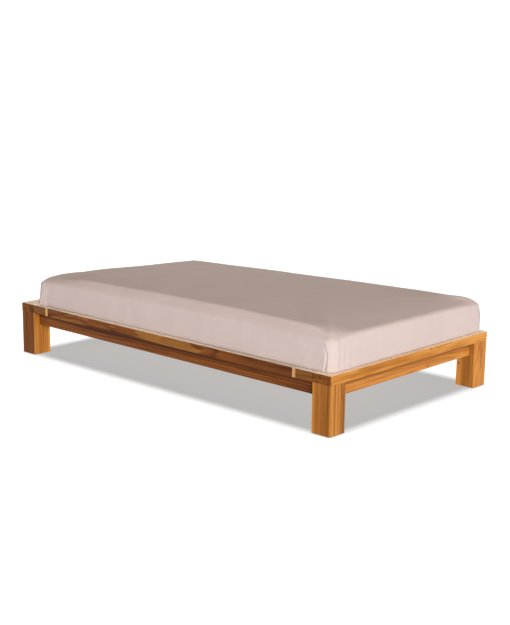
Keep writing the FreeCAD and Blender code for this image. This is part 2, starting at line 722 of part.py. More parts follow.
def end_angle(y, end_sign):
    """A small angle between an end apron and the end rail above it."""
    start = f"({y}) - angle_width / 2"
    upright = plate(low(end_sign, f"{END_APRON_INNER} - angle_steel", "angle_steel"), start,
                    f"{RAIL_BOTTOM} - angle_flange", "angle_steel", "angle_width", "angle_flange")
    flat = plate(low(end_sign, f"{END_APRON_INNER} - angle_flange", "angle_flange"), start,
                 f"{RAIL_BOTTOM} - angle_steel", "angle_flange", "angle_width", "angle_steel")
    angle = upright.fuse(flat).removeSplitter()
    angle = angle.cut(bore(signed(end_sign, f"{END_APRON_INNER} - angle_steel"), y,
                           ANGLE_HOLE_Z, outward(end_sign, "x"),
                           STEEL_SCREW_HOLE, "angle_steel"))
    return angle.cut(bore(signed(end_sign, f"{END_APRON_INNER} - {ANGLE_HOLE}"), y,
                          f"{RAIL_BOTTOM} - angle_steel", "+z", STEEL_SCREW_HOLE, "angle_steel"))


def make_steel_and_dowels():
    """Every group of identical fasteners, dowels, brackets and glides."""
    leg_dowel = dowel("leg_dowel_diameter", "leg_dowel_length")
    rail_dowel = dowel("rail_dowel_diameter", "rail_dowel_length")
    key_dowel = dowel("rail_dowel_diameter", "key_length + 2 * key_dowel_bite")
    bracket_screw = pan_screw("bracket_screw_length")
    ledger_screw = countersunk_screw("ledger_screw_length")
    slat_screw = countersunk_screw("slat_screw_length")
    bolt = hex_bolt()
    sleeve = insert()

    nodes = {"leg_dowels": [], "end_rail_dowels": [], "key_dowels": [], "corner_brackets": [],
             "corner_bolts": [], "threaded_inserts": [], "corner_bracket_screws": []}
    for _end, end_sign, _side, side_sign in corners():
        for x, y in leg_dowel_places(end_sign, side_sign):
            nodes["leg_dowels"].append(
                pointed(leg_dowel, x, y, f"{RAIL_BOTTOM} - leg_dowel_length / 2", "+z"))
        for y in rail_dowel_places(side_sign):
            nodes["end_rail_dowels"].append(
                pointed(rail_dowel, signed(end_sign, f"{OPENING_X} - rail_dowel_length / 2"), y,
                        RAIL_MIDDLE, outward(end_sign, "x")))
            nodes["key_dowels"].append(
                pointed(key_dowel, signed(end_sign, f"{SIDE_RAIL_X} - key_dowel_bite"), y,
                        RAIL_MIDDLE, outward(end_sign, "x")))
        nodes["corner_brackets"].append(corner_bracket(end_sign, side_sign))
        for z in bolt_heights():
            nodes["corner_bolts"].append(
                pointed(bolt, signed(end_sign, f"{LEG_INNER_X} - bracket_steel"), bolt_y(side_sign), z,
                        outward(end_sign, "x")))
            nodes["threaded_inserts"].append(
                pointed(sleeve, signed(end_sign, LEG_INNER_X), bolt_y(side_sign), z,
                        outward(end_sign, "x")))
        for x in bracket_screw_xs(end_sign):
            nodes["corner_bracket_screws"].append(
                pointed(bracket_screw, x, signed(side_sign, f"{SIDE_APRON_INNER} - bracket_steel"),
                        BRACKET_MIDDLE, outward(side_sign, "y")))

    nodes["apron_angles"] = []
    nodes["apron_angle_screws"] = []
    for side_sign in SIDES.values():
        for x in SIDE_ANGLES:
            nodes["apron_angles"].append(side_angle(x, side_sign))
            nodes["apron_angle_screws"].append(
                pointed(bracket_screw, x, signed(side_sign, f"{SIDE_APRON_INNER} - angle_steel"),
                        ANGLE_HOLE_Z, outward(side_sign, "y")))
            nodes["apron_angle_screws"].append(
                pointed(bracket_screw, x, signed(side_sign, f"{SIDE_APRON_INNER} - {ANGLE_HOLE}"),
                        f"{RAIL_BOTTOM} - angle_steel", "+z"))
    nodes["hanger_screws"] = []
    for end_sign in ENDS.values():
        for y in END_ANGLES:
            nodes["apron_angles"].append(end_angle(y, end_sign))
            nodes["apron_angle_screws"].append(
                pointed(bracket_screw, signed(end_sign, f"{END_APRON_INNER} - angle_steel"), y,
                        ANGLE_HOLE_Z, outward(end_sign, "x")))
            nodes["apron_angle_screws"].append(
                pointed(bracket_screw, signed(end_sign, f"{END_APRON_INNER} - {ANGLE_HOLE}"), y,
                        f"{RAIL_BOTTOM} - angle_steel", "+z"))
        for y, z in hanger_screw_places():
            nodes["hanger_screws"].append(
                pointed(bracket_screw, signed(end_sign, f"{END_APRON_INNER} - hanger_steel"), y, z,
                        outward(end_sign, "x")))

    nodes["ledger_screws"] = []
    nodes["slat_screws"] = []
    slat_count = int(value("slat_count"))
    for side_sign in SIDES.values():
        face_y = signed(side_sign, f"{OPENING_Y} - ledger_width")
        spots = [signed(end_sign, f"{LEDGER_END_X} - ledger_screw_inset") for end_sign in ENDS.values()]
        spots += [f"{slat_x(number)} + {SLAT_PITCH} / 2" for number in range(slat_count - 1)]
        for x in spots:
            nodes["ledger_screws"].append(
                pointed(ledger_screw, x, face_y, LEDGER_SCREW_Z, outward(side_sign, "y")))
        for number in range(slat_count):
            nodes["slat_screws"].append(
                pointed(slat_screw, slat_x(number), signed(side_sign, LEDGER_MIDDLE_Y),
                        "frame_height", "-z"))

    stud = Part.makeCylinder(value("stud_diameter") / 2, value("stud_length"))
    nodes["foot_stud"] = [pointed(stud, "0", "0", f"{BEAM_BOTTOM} - stud_length / 2", "+z")]
    return [group(label, solids) for label, solids in nodes.items()]


def make_glide(label, x, y, side_name):
    """A square felt glide under a leg or the middle foot."""
    glide = Piece(label, f"({x}) - {side_name} / 2", f"({y}) - {side_name} / 2", "0",
                  side_name, side_name, "glide_thickness")
    glide.ease(f"{side_name} / 12", "z")
    return glide.body


def make_leg_glides():
    """The four felt glides of the corner legs."""
    middle_x = f"{HALF_LENGTH} - leg_side / 2"
    middle_y = f"{HALF_WIDTH} - leg_side / 2"
    solids = []
    for _end, end_sign, _side, side_sign in corners():
        pad = plate("-glide_side / 2", "-glide_side / 2", "0", "glide_side", "glide_side",
                    "glide_thickness")
        upright = [edge for edge in pad.Edges if abs(edge.tangentAt(0).z) > 0.9]
        pad = pad.makeFillet(value("glide_side / 12"), upright)
        solids.append(pointed(pad, signed(end_sign, middle_x), signed(side_sign, middle_y), "0", "+z"))
    return group("leg_glides", solids)


# ---------------------------------------------------------------------------------------------
# Mattress and fitted sheet.
# ---------------------------------------------------------------------------------------------

MATTRESS_HALF_X = "(frame_length / 2 - mattress_margin)"
MATTRESS_HALF_Y = "(frame_width / 2 - mattress_margin)"
SHEET_GAP = "(fabric_thickness + fabric_clearance)"
MATTRESS_BOTTOM = f"(frame_height + rest_clearance + {SHEET_GAP})"


def slab(grow, bottom, height, corner, edge=None):
    """A slab with rounded corners and, where an edge radius is given, a rounded top rim."""
    half_x, half_y = value(f"{MATTRESS_HALF_X} + {grow}"), value(f"{MATTRESS_HALF_Y} + {grow}")
    block = Part.makeBox(2 * half_x, 2 * half_y, value(height),
                         FreeCAD.Vector(-half_x, -half_y, value(bottom)))
    upright = [rim for rim in block.Edges if abs(rim.tangentAt(rim.FirstParameter).z) > 0.9]
    block = block.makeFillet(value(corner), upright)
    if edge is None:
        return block
    top = value(bottom) + value(height)
    rims = [rim for rim in block.Edges if abs(rim.BoundBox.ZMin - top) < 1e-6]
    return block.makeFillet(value(edge), rims)


def make_mattress():
    """The mattress, a plain soft slab on the slats and rails."""
    return group("mattress", [slab("0", MATTRESS_BOTTOM, "mattress_height", "mattress_corner",
                                   "mattress_edge")])


def make_sheet():
    """The fitted sheet: over the top and sides, and turned in under the mattress."""
    outer = slab(SHEET_GAP, "frame_height + rest_clearance", f"mattress_height + 2 * {SHEET_GAP}",
                 f"mattress_corner + {SHEET_GAP}", f"mattress_edge + {SHEET_GAP}")
    inner = slab("fabric_clearance", "frame_height + rest_clearance + fabric_thickness",
                 "mattress_height + 2 * fabric_clearance", "mattress_corner + fabric_clearance",
                 "mattress_edge + fabric_clearance")
    opening = slab("-hem_turn_in", "frame_height", "fabric_thickness + 2 * rest_clearance",
                   "hem_corner")
    return group("fitted_sheet", [outer.cut(inner).cut(opening)])


def make_elastic():
    """The elastic band along the turned-in hem."""
    height = "fabric_thickness"
    outer = slab("-hem_turn_in", "frame_height + rest_clearance", height, "hem_corner")
    inner = slab("-hem_turn_in - elastic_width", "frame_height + rest_clearance", height,
                 "hem_corner - elastic_width")
    return group("hem_elastic", [outer.cut(inner)])


# ---------------------------------------------------------------------------------------------
# The whole bed.
# ---------------------------------------------------------------------------------------------

def make_bed():
    """Make every sub-part."""
    made = []
    for corner in corners():
        made.append(make_leg(*corner))
        made.append(make_stub(*corner))
        made.append(make_key(*corner))
    for end, end_sign in ENDS.items():
        made.append(make_end_rail(end, end_sign))
        made.append(make_end_apron(end, end_sign))
        made.append(make_hanger(end, end_sign))
    for side, side_sign in SIDES.items():
        made.append(make_side_rail(side, side_sign))
        made.append(make_side_apron(side, side_sign))
        made.append(make_ledger(side, side_sign))
    for number in range(int(value("slat_count"))):
        made.append(make_slat(number))
    made.append(make_beam())
    made.append(make_foot())
    made.append(make_glide("middle_glide", "0", "0", "foot_side * 0.8"))
    made.append(make_leg_glides())
    made.extend(make_steel_and_dowels())
    made.append(make_mattress())
    made.append(make_sheet())
    made.append(make_elastic())
    return made


def check(nodes):
    """Stop on any object that failed and on any shape that is empty or not valid."""
    for item in doc.Objects:
        if "Invalid" in item.State or "Error" in item.State:
            raise RuntimeError(f"{item.Name} failed: {item.State}")
    for node in nodes:
        if node.Shape.isNull() or not node.Shape.isValid() or not node.Shape.Solids:
            raise RuntimeError(f"{node.Label} has no valid solid")


nodes = make_bed()
doc.recompute()
check(nodes)
os.makedirs("parts", exist_ok=True)
for node in nodes:
    node.Shape.exportStep(f"parts/{node.Label}.step")
    print(f"{node.Label}: {len(node.Shape.Solids)} solid(s), {node.Shape.Volume / 1000:.1f} cm3")
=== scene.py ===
import json
import math
import random

import bpy
import numpy as np
from mathutils import Euler, Matrix, Vector
from mathutils.kdtree import KDTree

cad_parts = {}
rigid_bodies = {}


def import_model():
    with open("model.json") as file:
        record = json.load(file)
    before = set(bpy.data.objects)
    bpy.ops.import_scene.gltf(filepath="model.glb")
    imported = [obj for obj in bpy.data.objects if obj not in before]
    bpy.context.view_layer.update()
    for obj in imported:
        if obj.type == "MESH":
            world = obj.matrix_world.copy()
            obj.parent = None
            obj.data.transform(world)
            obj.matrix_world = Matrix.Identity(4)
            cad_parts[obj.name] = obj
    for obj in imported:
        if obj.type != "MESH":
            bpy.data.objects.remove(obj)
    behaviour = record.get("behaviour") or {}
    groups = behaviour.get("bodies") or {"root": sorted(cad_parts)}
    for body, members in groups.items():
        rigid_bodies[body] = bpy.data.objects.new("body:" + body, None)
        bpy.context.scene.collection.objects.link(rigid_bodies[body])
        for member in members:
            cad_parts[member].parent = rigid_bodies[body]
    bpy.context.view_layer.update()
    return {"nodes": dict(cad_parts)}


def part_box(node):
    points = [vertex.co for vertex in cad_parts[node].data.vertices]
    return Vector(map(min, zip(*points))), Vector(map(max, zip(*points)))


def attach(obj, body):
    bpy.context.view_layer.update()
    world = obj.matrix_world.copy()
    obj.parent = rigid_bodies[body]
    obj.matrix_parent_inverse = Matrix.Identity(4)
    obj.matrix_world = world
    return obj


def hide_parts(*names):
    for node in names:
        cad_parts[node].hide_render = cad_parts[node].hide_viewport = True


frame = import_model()

# Wooden bed with a mattress in a fitted sheet. Metres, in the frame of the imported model:
# X along the bed towards the foot end, Y across it, Z up, the floor at z = 0.

BODY_MATTRESS = "mattress"
NODES = frame["nodes"]

SHEET_LOW, SHEET_HIGH = (Vector(corner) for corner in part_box("fitted_sheet"))
ELASTIC_LOW = Vector(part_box("hem_elastic")[0])


# ------------------------------------------------------------
# Camera, light and floor.
# ------------------------------------------------------------

CAMERA_PLACE = Vector((3.938, -4.212, 1.525))
CAMERA_HEADING = math.radians(42.6)
CAMERA_DOWN = math.radians(12.3)
CAMERA_ROLL = math.radians(0.68)
CAMERA_LENS_MM = 72.17
CAMERA_SENSOR_MM = 36.0
CAMERA_SEES = 200

# The boards whose tops the weak shadowless light reaches.
TOP_NODES = ["foot_rail", "head_rail", "right_side_rail", "left_side_rail"]
TOP_NODES += [f"{kind}_{end}_{side}" for kind in ("short_rail", "key")
              for end in ("foot", "head") for side in ("right", "left")]
# (height of the view direction, brightness) from the floor up.
WORLD_STOPS = ((-0.35, 0.70), (-0.12, 1.05), (0.22, 1.05), (0.42, 0.05))
FLOOR_SIDE = 120
FLOOR_GLOW = 0.44
FLOOR_WHITE = 0.24
OVERHEAD_SPREAD = math.radians(26)
KEY_WAY = Vector((0.80, -0.52, 0.31)).normalized()
KEY_FAR = 14.0
LIGHT_AIM = (0, 0, 0.25)


def make_camera():
    """The camera, at standing height in front of the foot end's right corner."""
    data = bpy.data.cameras.new("camera")
    data.lens = CAMERA_LENS_MM
    data.sensor_width = CAMERA_SENSOR_MM
    data.clip_end = CAMERA_SEES
    camera = bpy.data.objects.new("camera", data)
    aim = Euler((math.pi / 2 - CAMERA_DOWN, 0, CAMERA_HEADING)).to_matrix()
    turn = Matrix.Rotation(CAMERA_ROLL, 3, "Z")
    camera.matrix_world = Matrix.Translation(CAMERA_PLACE) @ (aim @ turn).to_4x4()
    bpy.context.scene.collection.objects.link(camera)
    bpy.context.scene.camera = camera


def area_light(name, place, target, size, power):
    """A soft rectangular light aimed at a point and not seen itself."""
    data = bpy.data.lights.new(name, "AREA")
    data.shape = "RECTANGLE"
    data.size, data.size_y = size
    data.energy = power
    lamp = bpy.data.objects.new(name, data)
    lamp.location = place
    lamp.rotation_euler = (Vector(target) - Vector(place)).to_track_quat("-Z", "Y").to_euler()
    lamp.visible_camera = False
    bpy.context.scene.collection.objects.link(lamp)
    return lamp


def sun_light(name, strength, spread, colour=(1, 1, 1)):
    """A wide even light from straight above, whose shadows have soft edges."""
    data = bpy.data.lights.new(name, "SUN")
    data.energy = strength
    data.color = colour
    data.angle = spread
    lamp = bpy.data.objects.new(name, data)
    lamp.location = (0, 0, 5)
    bpy.context.scene.collection.objects.link(lamp)
    return lamp


def make_world():
    """White studio: bright near the horizon, softer below it and dim overhead."""
    world = bpy.data.worlds.new("studio")
    bpy.context.scene.world = world
    world.use_nodes = True
    tree = world.node_tree
    place = tree.nodes.new("ShaderNodeTexCoord")
    height = tree.nodes.new("ShaderNodeSeparateXYZ")
    ramp = tree.nodes.new("ShaderNodeValToRGB")
    half = tree.nodes.new("ShaderNodeMath")
    half.operation = "MULTIPLY_ADD"
    half.inputs[1].default_value = 0.5
    half.inputs[2].default_value = 0.5
    stops = ramp.color_ramp.elements
    while len(stops) < len(WORLD_STOPS):
        stops.new(0.5)
    for stop, (level, bright) in zip(stops, WORLD_STOPS):
        stop.position = level * 0.5 + 0.5
        stop.color = (bright, bright, bright, 1)
    tree.links.new(place.outputs["Generated"], height.inputs[0])
    tree.links.new(height.outputs["Z"], half.inputs[0])
    tree.links.new(half.outputs[0], ramp.inputs[0])
    tree.links.new(ramp.outputs[0], tree.nodes["Background"].inputs["Color"])


def make_floor():
    """A studio floor that glows a little, so the shadow under the bed stays soft grey. The soft
    light that bounces about the bed leaves it out."""
    bpy.ops.mesh.primitive_plane_add(size=FLOOR_SIDE)
    floor = bpy.context.object
    floor.name = "studio_floor"
    material = bpy.data.materials.new("studio_floor")
    material.use_nodes = True
    shader = material.node_tree.nodes["Principled BSDF"]
    shader.inputs["Base Color"].default_value = (FLOOR_WHITE, FLOOR_WHITE, FLOOR_WHITE, 1)
    shader.inputs["Roughness"].default_value = 1.0
    shader.inputs["Specular IOR Level"].default_value = 0.0
    shader.inputs["Emission Color"].default_value = (1, 1, 1, 1)
    shader.inputs["Emission Strength"].default_value = FLOOR_GLOW
    floor.data.materials.append(material)
    floor.visible_diffuse = False
    return floor


def share_light(lamp, name, objects, linked):
    """Let a lamp light only these objects if linked, or everything but these if not."""
    group = bpy.data.collections.new(name)
    for thing in objects:
        group.objects.link(thing)
    for member in group.collection_objects:
        member.light_linking.link_state = "INCLUDE" if linked else "EXCLUDE"
    lamp.light_linking.receiver_collection = group


make_camera()
make_world()
floor = make_floor()
key = area_light("key", KEY_WAY * KEY_FAR, LIGHT_AIM, (4.4, 4.4), 1660)
fill = area_light("fill", (-4.4, 4.6, 1.5), LIGHT_AIM, (3.0, 2.4), 110)
top_fill = sun_light("top_fill", 0.55, OVERHEAD_SPREAD, (1.0, 0.80, 0.56))
overhead = sun_light("overhead", 10.0, OVERHEAD_SPREAD)
for lamp in (key, fill, top_fill):
    share_light(lamp, f"lit_by_{lamp.name}", [floor], False)
share_light(overhead, "lit_by_overhead", [floor], True)
frame_glow = sun_light("frame_glow", 0.75, OVERHEAD_SPREAD, (0.94, 0.97, 1.0))
frame_glow.data.use_shadow = False
share_light(frame_glow, "lit_by_frame_glow", [bpy.data.objects[node] for node in TOP_NODES], True)
scene = bpy.context.scene
scene.view_settings.view_transform = "Standard"
scene.view_settings.look = "None"


# ------------------------------------------------------------
# Node helpers.
# ------------------------------------------------------------

class Tree:
    """A short way to add and join shader nodes."""

    def __init__(self, node_tree):
        self.tree = node_tree

    def add(self, kind, inputs=None, **settings):
        """Add a node. An input that is a socket is linked, and any other value is set."""
        node = self.tree.nodes.new(kind)
        for name, setting in settings.items():
            setattr(node, name, setting)
        for name, source in (inputs or {}).items():
            self.join(source, node.inputs[name])
        return node

    def join(self, source, socket):
        """Link a socket, or set the value."""
        if isinstance(source, bpy.types.NodeSocket):
            self.tree.links.new(source, socket)
        else:
            socket.default_value = source

    def maths(self, operation, first, second=0.0, third=0.0):
        """One number from up to three."""
        node = self.add("ShaderNodeMath", {0: first, 1: second, 2: third}, operation=operation)
        return node.outputs[0]

    def noise(self, vector, scale, detail=2.0, roughness=0.5):
        """Smooth noise from 0 to 1, about 0.5 on average."""
        node = self.add("ShaderNodeTexNoise", {"Vector": vector, "Scale": scale, "Detail": detail,
                                               "Roughness": roughness})
        return node.outputs["Fac"]

    def vectors(self, operation, first, second=(0, 0, 0)):
        """The vector and the number that come from two vectors."""
        node = self.add("ShaderNodeVectorMath", {0: first, 1: second}, operation=operation)
        return node.outputs

    def stretch(self, vector, scale):
        """A vector scaled apart along its three axes."""
        return self.vectors("MULTIPLY", vector, scale)[0]

    def streaks(self, vector, scale, detail=2.0):
        """Noise drawn out along the grain: scale is per metre, along the grain and twice across."""
        return self.noise(self.stretch(vector, scale), 1.0, detail)

    def stretch_by(self, share, vector):
        """A fixed vector times a number."""
        node = self.add("ShaderNodeVectorMath", {0: vector, "Scale": share}, operation="SCALE")
        return node.outputs[0]

    def ramp(self, source, stops, interpolation="LINEAR"):
        """A colour ramp from (position, colour) pairs."""
        node = self.add("ShaderNodeValToRGB", {0: source})
        ramp = node.color_ramp
        ramp.interpolation = interpolation
        while len(ramp.elements) < len(stops):
            ramp.elements.new(1.0)
        for element, (position, colour) in zip(ramp.elements, stops):
            element.position = position
            element.color = (*colour, 1) if len(colour) == 3 else colour
        return node.outputs[0]

    def mix(self, share, first, second, blend="MIX"):
        """One colour from two."""
        node = self.add("ShaderNodeMix", data_type="RGBA", blend_type=blend)
        self.join(share, node.inputs[0])
        self.join(first if isinstance(first, bpy.types.NodeSocket) else (*first, 1), node.inputs[6])
        self.join(second if isinstance(second, bpy.types.NodeSocket) else (*second, 1), node.inputs[7])
        return node.outputs[2]

    def remap(self, source, low, high, to_low=0.0, to_high=1.0):
        """A number moved from one range to another and held inside it."""
        node = self.add("ShaderNodeMapRange", {"Value": source, "From Min": low, "From Max": high,
                                               "To Min": to_low, "To Max": to_high})
        return node.outputs[0]


def new_material(name):
    """An empty material with its shader, and its tree."""
    material = bpy.data.materials.new(name)
    material.use_nodes = True
    tree = Tree(material.node_tree)
    return material, tree, material.node_tree.nodes["Principled BSDF"]


def bump(tree, height, strength, distance):
    """A bump normal from a height."""
    node = tree.add("ShaderNodeBump", {"Height": height, "Strength": strength, "Distance": distance})
    return node.outputs[0]


# ------------------------------------------------------------
# Wood.
# ------------------------------------------------------------

GRAIN_ORDER = {"x": (0, 1, 2), "y": (1, 0, 2), "z": (2, 0, 1)}
SEED_SHIFT = (9, 0.3, 0.3)

# Scales of the streaks, from the bending of the rings to the pores.
BEND_SCALE = (1.6, 9.0, 9.0)
RAGGED_SCALE = (5.0, 70.0, 70.0)
BROAD_SCALE = (1.1, 16.0, 16.0)
FIBRE_SCALE = (9.0, 420.0, 420.0)
SAP_EDGE_SCALE = (3.0, 26.0, 26.0)
STREAK_SCALE = (1.3, 62.0, 62.0)
PORE_SCALE = (30.0, 900.0, 900.0)
END_PATCH_SCALE = 38.0

# What the rings, the broad bands and the fibres add to the figure, and a ring's profile.
RING_SHARE = 0.38
BROAD_SHARE = 0.42
FIBRE_SHARE = 0.28
RAGGED_SHARE = 0.9
DEEP_BEND = 0.6
RING_PROFILE = ((0.0, 0.15), (0.45, 0.45), (0.86, 1.0), (1.0, 0.15))

# Boards as (light, dark) colours of their figure.
DARK_BOARD = ((0.270, 0.082, 0.013), (0.075, 0.017, 0.002))
APRON_BOARD = ((0.260, 0.080, 0.012), (0.085, 0.019, 0.002))
STUB_BOARD = ((0.210, 0.074, 0.014), (0.070, 0.020, 0.003))
ORANGE_BOARD = ((0.660, 0.300, 0.062), (0.420, 0.145, 0.016))
END_APRON_BOARD = ((0.600, 0.250, 0.050), (0.370, 0.118, 0.014))
LEG_BOARD = ((0.600, 0.250, 0.048), (0.320, 0.103, 0.014))
KEY_BOARD = ((0.64, 0.37, 0.15), (0.50, 0.24, 0.08))
PINE = ((0.74, 0.55, 0.33), (0.55, 0.36, 0.18))
RAW = {"varnish_and_painted_shine": False, "roughness": 0.6}

# Streaks and pores take their tone from the board's dark colour.
STREAK_SHARE = 0.68
STREAK_DARK = 0.55
PORE_SHARE = 0.35
PORE_DARK = 0.45

# Pale sapwood inside ragged ellipsoids, given as (middle, radii).
SAPWOOD = (0.340, 0.135, 0.024)
SAP_DARK = 0.62
SAP_SHARE = 0.9
SAP_RAGGED = 0.75
SAP_EDGE = (1.06, 0.94)
SAP_AREAS = (((0.0, -0.54, 0.232), (0.22, 0.5, 0.022)),
             ((-0.64, -0.54, 0.212), (0.13, 0.5, 0.007)),
             ((-0.30, -0.54, 0.236), (0.07, 0.5, 0.008)),
             ((0.25, 0.54, 0.230), (0.26, 0.5, 0.018)),
             ((-0.50, 0.54, 0.222), (0.20, 0.5, 0.009)))

# Knots as (middle, radius). The figure is pushed aside within KNOT_REACH radii.
KNOT_REACH = 3.0
KNOT_PUSH = (0, 0.012, 0.009)
KNOT_CORE = 0.35
KNOT_SHARE = 0.85
KNOT_TONE = (0.030, 0.010, 0.004)
LEG_KNOTS = (((0.90, 0.46, 0.105), 0.005), ((0.98, 0.52, 0.128), 0.003))
RAIL_KNOTS = (((0.925, -0.555, 0.236), 0.007), ((0.98, 0.12, 0.243), 0.006),
              ((-0.98, -0.22, 0.232), 0.006))
APRON_KNOTS = (((0.952, 0.14, 0.160), 0.005), ((-0.952, 0.25, 0.180), 0.006))
LONG_KNOTS = (((-0.55, -0.522, 0.178), 0.006), ((0.32, 0.522, 0.182), 0.006),
              ((-0.83, -0.522, 0.19), 0.005))

# The painted shade strip under the board above a seam, dark end grain, and the painted pale reflection on
# the boards' tops.
SEAM_SHADE_DEPTH = 0.030
SEAM_SHADE_GAP = 0.001
SEAM_SHADE_TONE = (0.22, 0.15, 0.11)
END_GRAIN_TONE = (0.42, 0.33, 0.24)
END_GRAIN_DARK = (0.20, 0.13, 0.09)
# Painted reflection: the pale cream that up-facing faces are mixed towards.
PAINTED_TOP_SHINE = (0.95, 0.90, 0.78)
PAINTED_TOP_SHINE_DARK = (0.74, 0.64, 0.48)
PAINTED_TOP_SHINE_SHARE = 0.60

WOOD_SPECULAR = 0.05
COAT_WEIGHT = 0.12
COAT_ROUGHNESS = 0.22
COAT_IOR = 1.35


def scaled(colour, share):
    """A colour made darker."""
    return tuple(channel * share for channel in colour)


def wood_vector(tree, grain, seed):
    """The place in the board, its three parts, and the place as (along the grain, across,
    across) moved by a seed."""
    place = tree.add("ShaderNodeTexCoord").outputs["Object"]
    parts = tree.add("ShaderNodeSeparateXYZ", {0: place}).outputs
    turned = tree.add("ShaderNodeCombineXYZ",
                      {slot: parts[axis] for slot, axis in enumerate(GRAIN_ORDER[grain])}).outputs[0]
    draw = random.Random(seed)
    shift = tuple(draw.uniform(-far, far) for far in SEED_SHIFT)
    return place, parts, tree.vectors("ADD", turned, shift)[0]


def wood_figure(tree, vector, ring, wave):
    """How dark the figure is at a place, from 0 to 1, and the fine fibres: rings round a pith
    outside the board, bent along the grain."""
    slow = tree.streaks(vector, BEND_SCALE)
    bend = tree.maths("MULTIPLY", tree.maths("SUBTRACT", slow, 0.5), wave)
    parts = tree.add("ShaderNodeSeparateXYZ", {0: vector}).outputs
    across = tree.maths("ADD", parts[1], bend)
    deep = tree.maths("ADD", parts[2], tree.maths("MULTIPLY", bend, DEEP_BEND))
    radius = tree.maths("SQRT", tree.maths("ADD", tree.maths("MULTIPLY", across, across),
                                           tree.maths("MULTIPLY", deep, deep)))
    ragged = tree.maths("MULTIPLY", tree.streaks(vector, RAGGED_SCALE), RAGGED_SHARE)
    turns = tree.maths("ADD", tree.maths("DIVIDE", radius, ring), ragged)
    rings = tree.ramp(tree.maths("FRACT", turns),
                      [(spot, (tone,) * 3) for spot, tone in RING_PROFILE])
    broad = tree.remap(tree.streaks(vector, BROAD_SCALE), 0.32, 0.68)
    fibres = tree.streaks(vector, FIBRE_SCALE, 3.0)
    figure = tree.maths("ADD", tree.maths("MULTIPLY", rings, RING_SHARE),
                        tree.maths("MULTIPLY", broad, BROAD_SHARE))
    figure = tree.maths("ADD", figure, tree.maths("MULTIPLY", fibres, FIBRE_SHARE))
    return figure, fibres


def knot_marks(tree, place, vector, knots):
    """The figure's vector pushed aside round each knot, and how far inside a knot a place is."""
    dark = None
    for centre, radius in knots:
        far = tree.vectors("DISTANCE", place, centre)[1]
        near = tree.remap(far, radius * KNOT_REACH, 0.0)
        vector = tree.vectors("ADD", vector, tree.stretch_by(near, KNOT_PUSH))[0]
        spot = tree.remap(far, radius, radius * KNOT_CORE)
        dark = spot if dark is None else tree.maths("MAXIMUM", dark, spot)
    return vector, dark


def sap_share(tree, place, vector):
    """How much of a place is sapwood."""
    edge = tree.streaks(vector, SAP_EDGE_SCALE)
    share = None
    for centre, radii in SAP_AREAS:
        offset = tree.vectors("SUBTRACT", place, centre)[0]
        offset = tree.stretch(offset, tuple(1.0 / radius for radius in radii))
        far = tree.vectors("LENGTH", offset)[1]
        ragged = tree.maths("ADD", far, tree.remap(edge, 0.30, 0.70, -SAP_RAGGED, SAP_RAGGED))
        inside = tree.remap(ragged, *SAP_EDGE)
        share = inside if share is None else tree.maths("MAXIMUM", share, inside)
    return share


